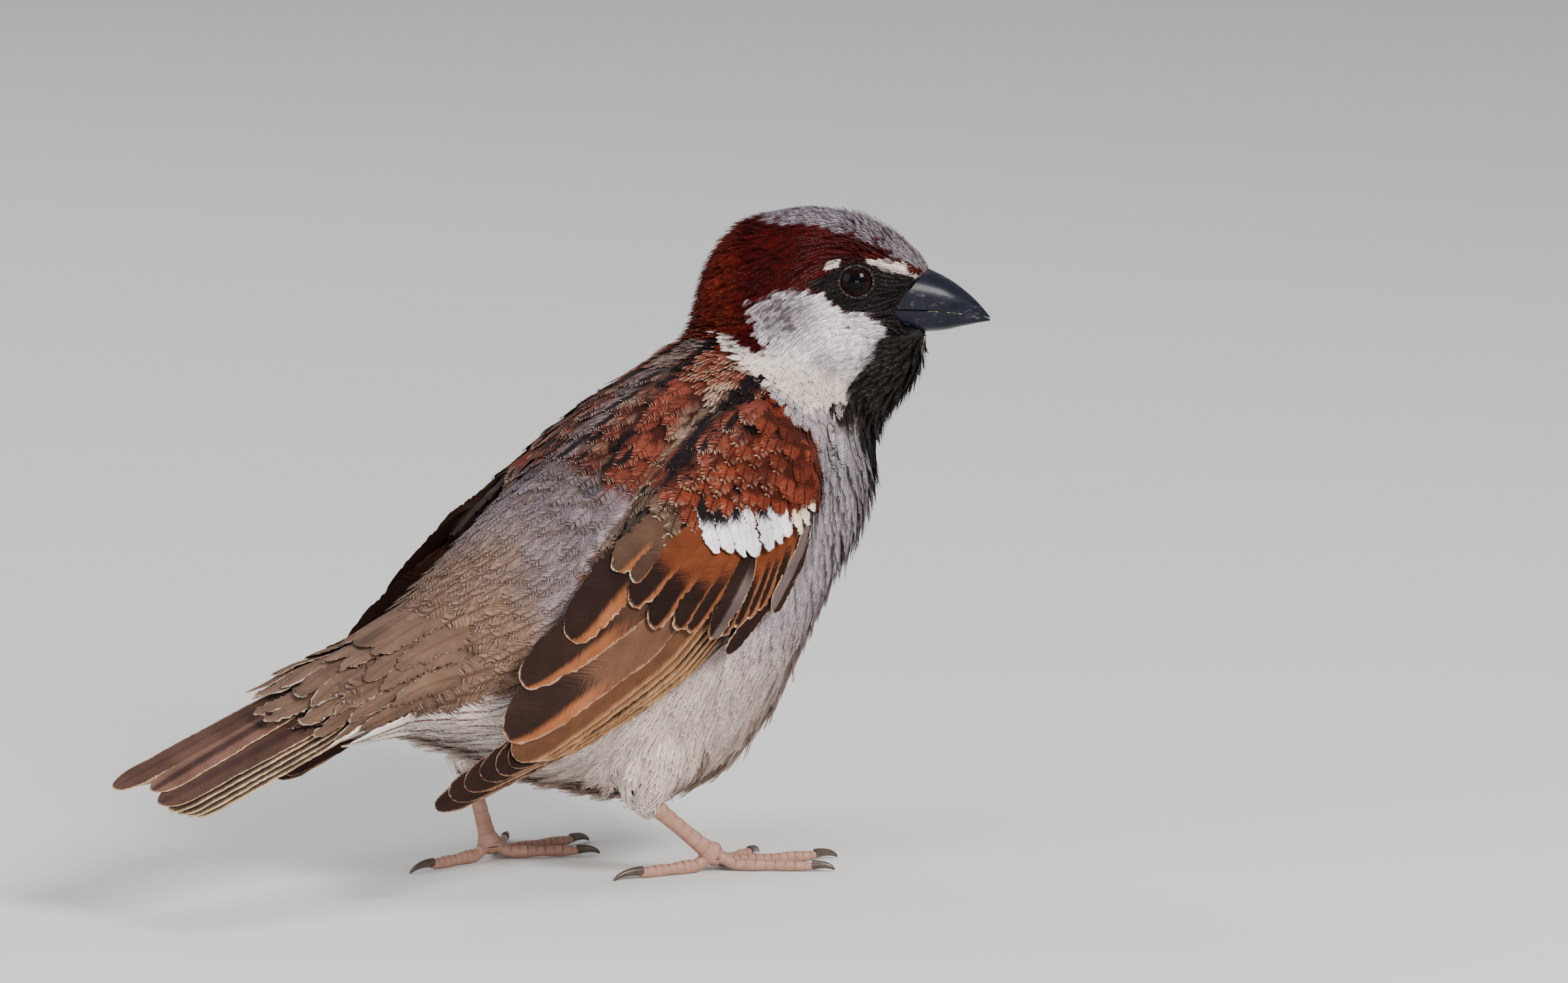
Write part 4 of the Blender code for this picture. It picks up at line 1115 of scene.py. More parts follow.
tracts = {
    "head": {**shortCoat, "spacing": 0.43, "length": 2.7, "half": 0.62, "lift": 0.34, "stray": 0.14,
             "tone": 0.10, "barbs": 4, "thick": 0.055, "flare": 1.2},
    "eyeRim": {**shortCoat, "spacing": 0.27, "length": 1.1, "half": 0.30, "lift": 0.30, "puff": 0.4,
               "stray": 0.16, "tone": 0.15, "plateTone": 0.7, "barbs": 3, "span": (0.15, 0.8), "thick": 0.05,
               "barbTone": 0.25, "flare": 0.5},
    "neck": {**shortCoat, "spacing": 0.52, "length": 4.2, "half": 0.85, "lift": 0.5, "stray": 0.13,
             "tone": 0.10, "rows": 3, "barbs": 6, "span": (0.22, 0.88), "lean": 0.72, "thick": 0.06,
             "flare": 1.5},
    "breast": {**looseCoat, "spacing": 1.02, "length": 8.0, "half": 1.7, "lift": 0.75, "puff": 0.7,
               "stray": 0.13, "tone": 0.08, "barbs": 20, "lean": 0.62, "ragged": 0.6, "thick": 0.065,
               "flare": 4.0, "fold": 0.1},
    "belly": {**looseCoat, "spacing": 1.22, "length": 10.5, "half": 2.0, "lift": 0.9, "puff": 0.8,
              "stray": 0.14, "tone": 0.08, "plateEnd": 0.72, "plateWide": 0.75, "barbs": 20, "lean": 0.66,
              "ragged": 0.7, "thick": 0.07, "flare": 7.0},
    "back": {**looseCoat, "spacing": 1.1, "length": 8.0, "half": 1.7, "lift": 0.7, "stray": 0.13,
             "tone": 0.10, "plateTone": 0.72, "barbs": 22, "lean": 0.58, "ragged": 0.5, "thick": 0.06,
             "flare": 2.0, "pale": 0.45, "slot": "rump_grey", "fold": 0.1, "wingTrim": False},
    "rump": {"spacing": 2.1, "length": 9.5, "half": 2.8, "lift": 0.75, "stray": 0.07, "tone": 0.19,
             "rows": 5, "plateTone": 0.64, "barbs": 32, "lean": 0.46, "ragged": 0.18, "thick": 0.075,
             "barbTone": 0.13, "blunt": 0.45, "slot": "rump_grey"},
    "vent": {"spacing": 1.5, "length": 10.0, "half": 2.2, "lift": 0.7, "stray": 0.08, "tone": 0.06, "rows": 5,
             "plateEnd": 0.85, "plateWide": 0.85, "plateTone": 0.8, "barbs": 26, "span": (0.25, 0.95),
             "lean": 0.55, "ragged": 0.4, "thick": 0.07, "barbTone": 0.12, "pale": 0.6, "slot": "belly_grey"},
    "tailCoverts": {"spacing": 1.8, "length": 12.0, "half": 2.3, "lift": 0.7, "puff": 0.5, "stray": 0.04,
                    "tone": 0.07, "rows": 5, "plateEnd": 0.9, "plateTone": 0.85, "barbs": 32, "lean": 0.42,
                    "ragged": 0.2, "thick": 0.075, "barbTone": 0.12, "pale": 0.8, "slot": "rump_grey"},
    "thigh": {**looseCoat, "spacing": 0.8, "length": 4.4, "half": 0.9, "lift": 0.5, "puff": 0.5,
              "stray": 0.14, "tone": 0.08, "rows": 3, "columns": 3, "plateEnd": 0.7, "plateWide": 0.75,
              "plateTone": 0.65, "barbs": 12, "span": (0.2, 0.92), "lean": 0.68, "ragged": 0.7,
              "thick": 0.06, "barbTone": 0.18, "flare": 3.0},
    "mantle": {"spacing": 1.55, "length": 7.4, "half": 1.9, "lift": 0.8, "stray": 0.07, "tone": 0.2,
               "rows": 5, "plateTone": 0.72, "barbs": 34, "lean": 0.44, "ragged": 0.25, "thick": 0.065,
               "barbTone": 0.18, "blunt": 0.42, "pale": 0.35, "banded": 0.85, "slot": "wing_brown"},
    "shoulder": {"spacing": 1.35, "length": 5.2, "half": 1.55, "lift": 0.6, "puff": 0.5, "stray": 0.08,
                 "tone": 0.24, "rows": 4, "plateTone": 0.75, "barbs": 26, "lean": 0.46, "ragged": 0.25,
                 "thick": 0.055, "barbTone": 0.16, "start": 0.6, "blunt": 0.42, "pale": 0.35, "banded": 0.6,
                 "slot": "wing_brown"},
    "scapular": {"spacing": 1.45, "length": 8.2, "half": 2.0, "lift": 0.8, "stray": 0.07, "tone": 0.14,
                 "rows": 5, "plateTone": 0.72, "barbs": 36, "lean": 0.46, "ragged": 0.4, "thick": 0.065,
                 "barbTone": 0.18, "start": 0.35, "banded": 0.85, "slot": "wing_brown"},
}
pieceNames = {
    "head": "plumage_head", "eyeRim": "plumage_eye_rims", "neck": "plumage_neck",
    "breast": "plumage_breast", "belly": "plumage_belly", "back": "plumage_back", "rump": "plumage_rump",
    "vent": "plumage_vent", "tailCoverts": "plumage_tail_coverts", "thigh": "plumage_thighs",
    "mantle": "plumage_mantle", "shoulder": "plumage_shoulders", "scapular": "plumage_scapulars",
}

for number, (tract, own) in enumerate(tracts.items()):
    plan = {**tractCommon, **own}
    roots = scatteredRoots(plan["spacing"], lambda middles: tractOf(middles) == tract, 40 + number)
    roots = openPlaces(roots)
    finish = velvetFinish if tract in ("head", "eyeRim", "neck", "thigh") else plumeFinish
    layPlumage(pieceNames[tract], roots, plan, finish, 70 + number)


# flight feathers, laid one by one
def quillShape(rows, columns):
    # a closed thin vane, its two faces joined round the rim
    vs = np.concatenate([np.linspace(0, 0.8, rows - 7), 0.8 + 0.2 * np.sin(np.linspace(0, np.pi / 2, 8))[1:]])
    us = np.sin(np.linspace(-np.pi / 2, np.pi / 2, columns))
    corners = [(u, v, face) for face in (1, -1) for v in vs for u in us]
    faces, low = [], len(vs) * columns

    def top(i, j):
        return i * columns + j

    for i in range(len(vs) - 1):
        for j in range(columns - 1):
            a, b, c, d = top(i, j), top(i, j + 1), top(i + 1, j + 1), top(i + 1, j)
            faces += [(a, b, c), (a, c, d), (low + a, low + c, low + b), (low + a, low + d, low + c)]
    rim = [top(0, j) for j in range(columns)] + [top(i, columns - 1) for i in range(1, len(vs))]
    rim += [top(len(vs) - 1, j) for j in range(columns - 2, -1, -1)]
    rim += [top(i, 0) for i in range(len(vs) - 2, 0, -1)]
    for a, b in zip(rim, rim[1:] + rim[:1]):
        faces += [(a, low + b, b), (a, low + a, low + b)]
    return np.array(corners, float), np.array(faces)


quillCorners, quillFaces = quillShape(50, 9)


def quillOutline(u, v, tips):
    # share of the full half width: narrow root, even vane, each web rounded over its last part
    tip = np.where(u < 0, *tips)
    root = 0.35 + 0.65 * smoothStep(0.0, 0.35, v)
    end = np.clip((v - (1 - tip)) / tip, 0, 1)
    return root * np.sqrt(np.maximum(1 - end**2.2, 0.0)) + 0.004


# What a laid feather has unless its kind says otherwise.
quillCommon = {"nick": 0.12, "innerRim": 0.0, "slant": 0.0, "even": False, "mottle": 0.16,
               "base": (*paint["under"], -1.0)}


def layQuills(name, feathers, surface, seed, mirrored=False):
    # feathers: root, tip, half widths of the lower and upper web, bend, lift, tip share and colours
    draw = np.random.default_rng(seed)
    allPoints, allFaces, values, uvs = [], [], {}, []
    u, v, face = quillCorners.T
    for number, given in enumerate(feathers):
        feather = {**quillCommon, **given}
        root, tip = np.array(feather["root"], float), np.array(feather["tip"], float)
        way = tip - root
        length = np.linalg.norm(way)
        across = np.array([-way[1], way[0]]) / length
        outline = quillOutline(u, v, feather["tipShare"])
        half = np.where(u < 0, *feather["halves"]) * outline
        bow = feather["bend"] * np.sin(np.pi * v)
        flat = root[None] + way[None] * v[:, None] + across[None] * (u * half + bow)[:, None]
        # barbs part a little along the rim
        apart = np.tile(draw.uniform(-1, 0.3, len(u) // 2), 2)
        nick = feather["nick"] * (np.abs(u) > 0.9) * (v > 0.3) * apart
        edgePlace = np.stack([v * length, np.sign(u) * 20, 0 * v + number * 7], axis=1)
        waves = (np.abs(u) > 0.6) * smoothStep(0.3, 0.6, v) * waveNoise(edgePlace, 0.9, 21)
        nick += feather["nick"] * 0.8 * waves
        flat += across[None] * (nick * np.sign(u))[:, None]
        camber = feather["camber"] * (1 - u**2) * outline
        shaft = 0.10 * np.exp(-((u / 0.07) ** 2)) * (1 - v) ** 0.5
        lift = feather["lift"] + feather["rise"] * v + camber + shaft + face * 0.03
        allPoints.append(surface(flat[:, 0], flat[:, 1], lift))
        turned = quillFaces[:, ::-1] if mirrored else quillFaces
        allFaces.append(turned + number * len(quillCorners))
        rim = np.minimum(half - np.abs(u) * half, (1 - v) * length * 0.8)
        rim = rim + feather["innerRim"] * smoothStep(0.1, 0.5, u) * smoothStep(0.98, 0.86, v)
        sided = np.abs(u) if feather["even"] else u + feather["slant"] * v
        vane = np.stack([sided, v, length * v - np.abs(u) * half * 1.4], axis=1)
        patchPlace = np.stack([flat[:, 0], flat[:, 1] * 2, u * 0], axis=1)
        mottle = 1 + feather["mottle"] * waveNoise(patchPlace, 4.0, number)
        for key in ("tint", "streak", "fringe", "base"):
            value = np.tile(np.asarray(feather[key], float), (len(u), 1))
            value[:, :3] *= mottle[:, None]
            values.setdefault(key, []).append(value)
        values.setdefault("vaneAt", []).append(vane)
        values.setdefault("rim", []).append(rim)
        strip = (number + 0.5) / len(feathers)
        uvs.append(np.stack([0.01 + 0.98 * (v * 0.5 + 0.5 * (face < 0)),
                             strip + u * 0.42 / len(feathers)], axis=1))
    made = joinedMesh(name, np.concatenate(allPoints), np.concatenate(allFaces), quillFinish,
                      {key: np.concatenate(value) for key, value in values.items()}, np.concatenate(uvs))
    return made


quillPaint = {
    "dark": (0.018, 0.0085, 0.0068), "dusk": (0.024, 0.0112, 0.0088), "umber": (0.026, 0.0125, 0.0095),
    "brown": (0.031, 0.0155, 0.0120), "rufous": (0.300, 0.104, 0.042), "rust": (0.152, 0.040, 0.015),
    "warm": (0.120, 0.052, 0.026), "olive": (0.062, 0.033, 0.022), "oliveBase": (0.085, 0.044, 0.028),
    "umberBase": (0.080, 0.037, 0.024), "brownBase": (0.150, 0.070, 0.042), "ochre": (0.360, 0.180, 0.080),
    "edge": (0.560, 0.330, 0.200), "tail": (0.080, 0.040, 0.029), "tailDark": (0.030, 0.014, 0.013),
    "dull": (0.260, 0.150, 0.105), "tailEdge": (0.520, 0.360, 0.200), "white": (0.860, 0.800, 0.850),
    "greyWeb": (0.140, 0.100, 0.095), "cream": (0.840, 0.700, 0.500), "tailShaft": (0.050, 0.024, 0.020),
}

# (root, tip, half width of the lower and the upper web, bend) in wing places
wingQuills = {
    "tertials": (((24.0, 10.2), (45.2, 7.9), 3.0, 2.9, 0.6), ((25.0, 6.2), (54.0, 6.0), 3.3, 3.0, 0.5),
                 ((25.0, 1.6), (59.7, 1.7), 3.6, 3.9, 0.4)),
    "secondaries": (((22.0, -0.4), (59.6, -1.1), 3.0, 3.0, -0.3),
                    ((22.0, -1.6), (58.4, -1.9), 2.8, 2.8, -0.5),
                    ((22.0, -2.6), (57.2, -2.6), 2.7, 2.7, -0.7),
                    ((21.0, -3.4), (56.0, -3.1), 2.6, 2.6, -0.8),
                    ((21.0, -4.2), (54.8, -3.5), 2.5, 2.6, -0.9),
                    ((20.0, -4.8), (53.6, -3.9), 2.4, 2.5, -0.9)),
    "primaries": (((20.0, -4.8), (60.6, -1.9), 2.1, 2.8, -1.1), ((20.0, -5.0), (62.6, -1.6), 2.1, 2.8, -1.3),
                  ((20.0, -5.2), (64.8, -1.0), 2.2, 2.8, -1.5), ((20.0, -5.4), (67.2, -1.1), 2.1, 2.6, -1.6),
                  ((20.0, -5.6), (69.9, -0.9), 2.1, 2.5, -1.7), ((20.0, -5.8), (72.2, -1.1), 1.8, 2.2, -1.7),
                  ((19.5, -6.0), (71.0, -1.7), 1.5, 1.9, -1.6)),
    "greater": (((20.0, 11.4), (33.9, 11.3), 1.7, 1.8, 0.3), ((20.0, 9.4), (32.6, 8.6), 1.7, 1.8, 0.4),
                ((17.0, 7.6), (35.2, 6.4), 2.1, 2.3, 0.7), ((15.6, 6.4), (34.2, 2.8), 2.1, 2.2, 0.7),
                ((14.4, 4.4), (31.4, 0.6), 1.7, 1.9, 0.5), ((13.2, 3.0), (29.6, -1.0), 1.6, 1.8, 0.3),
                ((13.4, 2.4), (27.1, -3.7), 1.9, 1.7, -0.2), ((11.6, 1.8), (25.0, -4.7), 1.6, 1.8, 0.1),
                ((9.8, 1.4), (22.4, -5.3), 1.4, 1.6, 0.1), ((7.8, 1.2), (20.0, -5.5), 1.2, 1.5, 0.0),
                ((5.8, 0.8), (17.6, -5.7), 1.1, 1.4, 0.0), ((3.8, 0.2), (14.8, -5.7), 1.0, 1.3, 0.0)),
    "median": (((15.8, 11.8), (20.2, 5.2), 1.3, 1.3, 0.2), ((14.2, 10.2), (18.6, 3.9), 1.3, 1.3, 0.2),
               ((12.6, 8.6), (17.0, 2.3), 1.3, 1.3, 0.2), ((10.4, 7.6), (15.2, 1.3), 1.3, 1.4, 0.2),
               ((8.2, 6.6), (12.8, 0.5), 1.4, 1.3, 0.2), ((6.4, 6.0), (10.6, 0.2), 1.2, 1.3, 0.1),
               ((4.6, 5.2), (8.6, 0.0), 1.2, 1.1, 0.1), ((2.6, 4.6), (6.2, -1.0), 1.0, 1.1, 0.1),
               ((1.2, 4.4), (4.4, -0.9), 0.9, 0.9, 0.0), ((-0.2, 4.4), (2.2, -0.4), 0.8, 0.8, 0.0)),
    "primaryCoverts": (((11.0, -4.4), (24.9, -7.5), 1.1, 1.3, -0.3),
                       ((10.0, -4.8), (22.4, -6.8), 1.1, 1.2, -0.3),
                       ((9.4, -4.6), (20.4, -6.0), 1.0, 1.1, -0.2)),
    "alula": (((4.4, -3.0), (15.8, -7.2), 1.4, 1.5, 0.1), ((3.2, -1.8), (11.2, -5.4), 1.1, 1.2, -0.1)),
}
# How each kind lies and is painted: lift of its first feather, step to the next, rise to the tip, and so on.
# Paints are named with the width of their streak, fringe or base.
wingKinds = {
    # the tertials' rufous streak is their own rufous web, and over the middle of the lowest tertial it is
    # also a painted sheen
    "tertials": {"lift": -0.40, "step": -0.24, "rise": 0.55, "camber": 0.30, "tipShare": (0.24, 0.45),
                 "tint": "dark", "streak": ("rufous", -0.28), "slant": 0.34, "fringe": ("edge", 0.15),
                 "innerRim": 0.5, "nick": 0.22},
    "secondaries": {"lift": -1.00, "step": -0.13, "rise": 0.45, "camber": 0.06, "tipShare": (0.14, 0.12),
                    "tint": "dusk", "streak": ("ochre", -0.70), "slant": 0.16, "fringe": ("edge", 0.08),
                    "innerRim": 0.4},
    "primaries": {"lift": -1.75, "step": -0.13, "rise": 0.80, "camber": 0.06, "tipShare": (0.09, 0.13),
                  "tint": "dusk", "streak": ("ochre", -0.80), "slant": 0.25, "fringe": ("dull", 0.10)},
    "greater": {"lift": 0.10, "step": -0.11, "rise": 0.55, "camber": 0.52, "tipShare": (0.24, 0.30),
                "tint": "dark", "streak": ("rufous", -0.25), "slant": 0.30, "fringe": ("edge", 0.22),
                "innerRim": 0.4, "nick": 0.30},
    "median": {"lift": -0.35, "step": -0.02, "rise": 1.25, "camber": 0.22, "tipShare": (0.30, 0.26),
               "tint": "white", "streak": ("greyWeb", -0.02), "even": True, "fringe": ("white", 0.04),
               "nick": 0.34, "mottle": 0.05},
    "primaryCoverts": {"lift": -0.75, "step": -0.10, "rise": 0.55, "camber": 0.12, "tipShare": (0.2, 0.2),
                       "tint": "dark", "streak": ("dark", -2.0), "fringe": ("edge", 0.10)},
    "alula": {"lift": -0.45, "step": -0.12, "rise": 0.50, "camber": 0.14, "tipShare": (0.2, 0.2),
              "tint": "greyWeb", "streak": ("dusk", -0.1), "fringe": ("edge", 0.08)},
}
# What single feathers have of their own, counted from the top. The seventh greater covert has shifted and
# shows its grey web.
ownLooks = {
    "tertials": {0: {"tint": "dark", "tipShare": (0.20, 0.50)},
                 1: {"tint": "umber", "base": ("umberBase", 0.45), "tipShare": (0.42, 0.30)},
                 2: {"tint": "brown", "base": ("brownBase", 0.58), "tipShare": (0.26, 0.22)}},
    "secondaries": dict.fromkeys((0, 1), {"tint": "warm"}),
    "greater": {**dict.fromkeys((0, 1), {"tint": "olive", "base": ("oliveBase", 0.55),
                                         "fringe": ("cream", 0.14), "sink": 0.75}),
                6: {"tint": "dark", "streak": ("greyWeb", 0.05), "slant": 0.0, "lift": 0.0,
                    "base": ("dark", 0.3)},
                **dict.fromkeys((8, 9, 10, 11), {"streak": ("rufous", 0.1)})},
    "median": dict.fromkeys((7, 8, 9), {"tint": "cream"}),
}


def withPaint(plan):
    # a paint's name, or its name and a width, becomes numbers
    made = {}
    for key, value in plan.items():
        if isinstance(value, str):
            value = quillPaint[value]
        elif isinstance(value, tuple) and isinstance(value[0], str):
            value = (*quillPaint[value[0]], value[1])
        made[key] = value
    return made


def wingFeathers(kind):
    # each feather departs a little from its kind, the same way on both wings
    made, draw = [], np.random.default_rng(len(kind) + 3)
    for index, (root, tip, lower, upper, bend) in enumerate(wingQuills[kind]):
        tip = (tip[0] + draw.uniform(-0.25, 0.25), tip[1] + draw.uniform(-0.12, 0.12))
        feather = {**withPaint(wingKinds[kind]), "root": root, "tip": tip, "halves": (lower, upper),
                   "bend": bend, "sink": 0.0}
        feather["lift"] += feather["step"] * index + draw.uniform(-0.02, 0.02)
        for key in ("streak", "fringe"):
            feather[key] = (*feather[key][:3], feather[key][3] * draw.uniform(0.85, 1.15))
        if kind == "greater":
            feather["base"] = (*quillPaint["rust"], draw.uniform(0.40, 0.58))
            feather["streak"] = (*quillPaint["rufous"], draw.uniform(-0.42, -0.12))
        if kind == "median":
            feather["base"] = (*paint["black"], draw.uniform(0.22, 0.46) + 0.12 * (index < 2))
        feather.update(withPaint(ownLooks.get(kind, {}).get(index, {})))
        feather["lift"] -= feather["sink"]
        feather["rise"] += feather["sink"]
        for key in ("tint", "streak"):
            shade = draw.uniform(0.85, 1.15)
            feather[key] = (*(value * shade for value in feather[key][:3]), *feather[key][3:])
        made.append(feather)
    return made


wingGroups = {"coverts": ("greater", "median", "primaryCoverts", "alula"),
              "secondaries": ("tertials", "secondaries"), "primaries": ("primaries",)}
padPlan = {"voxel": 0.0005, "inset": 0.85, "inward": 0.55}
padFinish = cloudedMaterial("wing underside", {
    "colours": ((0.012, 0.008, 0.007), (0.055, 0.038, 0.032)), "roughness": 0.8, "specular": 0.2,
    "cloud": 600.0})
sides = ((-1, "right"), (1, "left"))
for side, sideName in sides:
    pad = swollenForm(f"wing_{sideName}_pad", (f"wing_{sideName}_coverts",), padPlan["voxel"])
    points, normals = meshArrays(pad.data)
    points = toBird(points) - normals * padPlan["inset"] - np.array([0, side * padPlan["inward"], 0])
    reshaped(pad, points, padFinish)

    def onThisWing(along, across, lift):
        return wingSurface(along, across, side, lift)

    for group, kinds in wingGroups.items():
        feathers = [feather for kind in kinds for feather in wingFeathers(kind)]
        piece = layQuills(f"wing_{sideName}_{group}_feathers", feathers, onThisWing, 11,
                          mirrored=side < 0)
        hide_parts(f"wing_{sideName}_{group}")
print("wings feathered")

# tail
# The tail is half closed: on its left the middle feather hides the rest, on its right their edges show in
# steps. Each feather: place of its root and its tip across, length, half widths of its outer and inner web.
tailPlan = {
    "root": (-50.4, 25.8), "slope": 19.0, "roll": 0.28, "start": -7.0,
    "left": ((3.7, 4.3, 29.6, 2.0, 2.1), (3.8, 4.5, 28.6, 1.6, 2.2), (4.0, 4.5, 27.6, 1.5, 2.2),
             (4.2, 4.4, 26.6, 1.5, 2.2), (4.4, 4.3, 25.8, 1.4, 2.1), (4.6, 4.2, 25.0, 1.3, 2.0)),
    "right": ((-1.6, -0.2, 26.4, 2.2, 2.0), (3.2, 2.5, 27.4, 2.6, 2.4), (4.6, 4.6, 27.2, 1.5, 2.4),
              (5.5, 5.6, 26.6, 1.4, 2.4), (6.3, 6.5, 25.8, 1.3, 2.3), (7.0, 7.3, 24.8, 1.2, 2.2)),
    "kind": {"bend": 0.0, "rise": 0.0, "camber": 0.14, "tipShare": (0.12, 0.15), "even": True, "nick": 0.10,
             "mottle": 0.25},
}


def tailSurface(along, across, lift):
    slope = math.radians(tailPlan["slope"])
    x = tailPlan["root"][0] - along * math.cos(slope) - lift * math.sin(slope)
    z = tailPlan["root"][1] - along * math.sin(slope) + lift * math.cos(slope)
    return np.stack([x, across, z + tailPlan["roll"] * across], axis=-1)


# Sections of the rump's end: place back, half width, height of its middle, top and bottom.
coverBody = ((20.0, 15.7, 29.7, 40.0, 15.6), (30.0, 12.6, 29.4, 39.2, 19.3), (40.0, 9.3, 28.0, 33.4, 21.1),
             (48.0, 7.9, 26.9, 29.6, 22.5), (52.0, 7.6, 25.4, 27.0, 23.8), (60.0, 7.6, 22.8, 24.2, 21.2))
# (root, tip, half width) of the coverts; across runs round from the top, to the side, to below.
tailCoverQuills = (
    ((38.0, 1.4), (57.4, 1.5), 1.9), ((38.0, 5.4), (55.8, 5.0), 2.0), ((37.0, 9.4), (54.4, 8.8), 2.0),
    ((36.0, 13.0), (53.2, 12.4), 2.0), ((36.0, 15.6), (52.8, 15.6), 2.0), ((36.0, 18.4), (54.4, 18.8), 2.2),
    ((36.0, 22.0), (56.0, 22.4), 2.2), ((37.0, 25.2), (57.4, 25.4), 2.1), ((33.0, 0.0), (52.6, 0.1), 1.9),
    ((33.0, 3.4), (51.6, 3.2), 2.0), ((32.0, 7.4), (50.4, 6.8), 2.0), ((32.0, 11.2), (49.4, 10.6), 2.0),
    ((32.0, 14.4), (48.6, 14.0), 2.0), ((30.0, 18.4), (48.6, 18.4), 2.0), ((30.0, 22.0), (49.0, 22.0), 2.0),
    ((30.0, 1.8), (46.8, 1.8), 1.9), ((29.0, 5.4), (46.0, 5.2), 1.9), ((29.0, 9.0), (45.2, 8.6), 1.9),
    ((29.0, 12.4), (44.4, 12.0), 1.9), ((28.0, 0.0), (42.6, 0.0), 1.9), ((27.0, 3.6), (41.6, 3.4), 2.0),
    ((27.0, 7.2), (41.0, 7.0), 2.0))
# The first eight are the outermost tier, and the first twelve have a pale fringe.
coverPlan = {"outerTier": 8, "fringed": 12, "lift": -1.6, "innerLift": 0.14, "perTurn": 8.5,
             "kind": {"rise": 2.35, "nick": 0.40, "camber": 0.25, "even": True, "mottle": 0.2},
             "above": {"tint": "rump", "tone": 0.75, "streak": ("rumpShaft", 0.08), "fringe": "rumpEdge"},
             "below": {"tint": "undertail", "tone": 1.0, "streak": ("undertailCentre", 0.16),
                       "fringe": "undertail"}}


def coverSurface(along, across, side, lift):
    places, *columns = zip(*coverBody)
    half, middle, top, bottom = (np.interp(along, places, column) for column in columns)
    turn = across / coverPlan["perTurn"]
    height = np.where(np.cos(turn) > 0, top - middle, middle - bottom)
    sideways = side * (half + lift) * np.sin(turn)
    tilted = tailPlan["roll"] * sideways * smoothStep(36.0, 52.0, along)
    return np.stack([-along, sideways, middle + (height + lift) * np.cos(turn) + tilted], axis=-1)


def tailCoverFeathers():
    draw, feathers = np.random.default_rng(31), []
    for index, (root, tip, half) in enumerate(tailCoverQuills):
        looks = coverPlan["below" if tip[1] > 15.0 else "above"]
        shaft, width = looks["streak"]
        tip = (tip[0] + draw.uniform(-0.9, 0.9), tip[1] + draw.uniform(-0.5, 0.5))
        raised = coverPlan["innerLift"] if index >= coverPlan["outerTier"] else 0.0
        feathers.append({**coverPlan["kind"], "root": root, "tip": tip, "halves": (half, half),
                         "bend": draw.uniform(-0.3, 0.3), "lift": coverPlan["lift"] + raised,
                         "tipShare": (draw.uniform(0.3, 0.5), draw.uniform(0.3, 0.5)),
                         "tint": np.array(paint[looks["tint"]]) * draw.uniform(0.9, 1.1) * looks["tone"],
                         "streak": (*paint[shaft], width),
                         "fringe": (*paint[looks["fringe"]], 0.17 if index < coverPlan["fringed"] else 0.0)})
    return feathers


def tailFeathers(side):
    # the middle pair lies on top; in tail places the lower web is the one on the bird's right
    feathers, places = [], tailPlan["left" if side > 0 else "right"]
    for i, (rootAcross, tipAcross, length, outer, inner) in enumerate(places):
        stepped = side < 0 and i > 1
        tone = 1.85 if side < 0 and i == 0 else 1.0
        feathers.append({**tailPlan["kind"], "root": (tailPlan["start"], side * rootAcross),
                         "tip": (length, side * tipAcross),
                         "halves": (inner, outer) if side > 0 else (outer, inner), "lift": 0.55 - 0.22 * i,
                         "tint": np.array(quillPaint["tailDark" if stepped else "tail"]) * tone,
                         "streak": (*quillPaint["tailShaft"], 0.10 if side > 0 else 0.30),
                         "fringe": (*quillPaint["tailEdge"], 0.30 if stepped else 0.12),
                         "innerRim": 1.0 if stepped else 0.0})
    return feathers


for side, sideName in sides:
    layQuills(f"tail_{sideName}_coverts", tailCoverFeathers(),
              lambda along, across, lift: coverSurface(along, across, side, lift), 14,
              mirrored=side > 0)
    piece = layQuills(f"tail_{sideName}_feathers", tailFeathers(side), tailSurface, 12,
                      mirrored=True)
    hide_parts(f"tail_{sideName}")
print("tail feathered")


# lofted solids: bill, legs, toes and claws
def loftedSolid(name, rings, material, node):
    # a circle carried from ring to ring by extruding its rim, and closed at both ends
    bm = bmesh.new()
    count = len(rings[0])
    bmesh.ops.create_circle(bm, segments=count, radius=0.001, cap_ends=False)
    bm.verts.ensure_lookup_table()
    loop = firstLoop = list(bm.verts)
    for ringNumber, ring in enumerate(rings):
        if ringNumber:
            edges = [bm.edges.get((loop[k], loop[(k + 1) % count])) for k in range(count)]
            made = bmesh.ops.extrude_edge_only(bm, edges=edges)["geom"]
            fresh = {part for part in made if isinstance(part, bmesh.types.BMVert)}
            partner = {other: vertex for vertex in fresh for line in vertex.link_edges
                       if (other := line.other_vert(vertex)) not in fresh}
            loop = [partner[vertex] for vertex in loop]
        for vertex, place in zip(loop, toModel(np.array(ring))):
            vertex.co = place
    for end in (firstLoop, loop):
        bmesh.ops.poke(bm, faces=[bm.faces.new(end)])
    bmesh.ops.recalc_face_normals(bm, faces=bm.faces)
    mesh = meshFrom(bm, name, material)
    mesh.set_sharp_from_angle(angle=math.radians(62))
    made = inScene(name, mesh)
    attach(made, "root")
    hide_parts(node)
    return made


billLooks = {"blue": ((0.003, 0.003, 0.006), (0.014, 0.015, 0.028)), "worn": (0.20, 0.19, 0.20),
             "gape": (0.38, 0.35, 0.19), "grain": (260, 1500, 1500)}


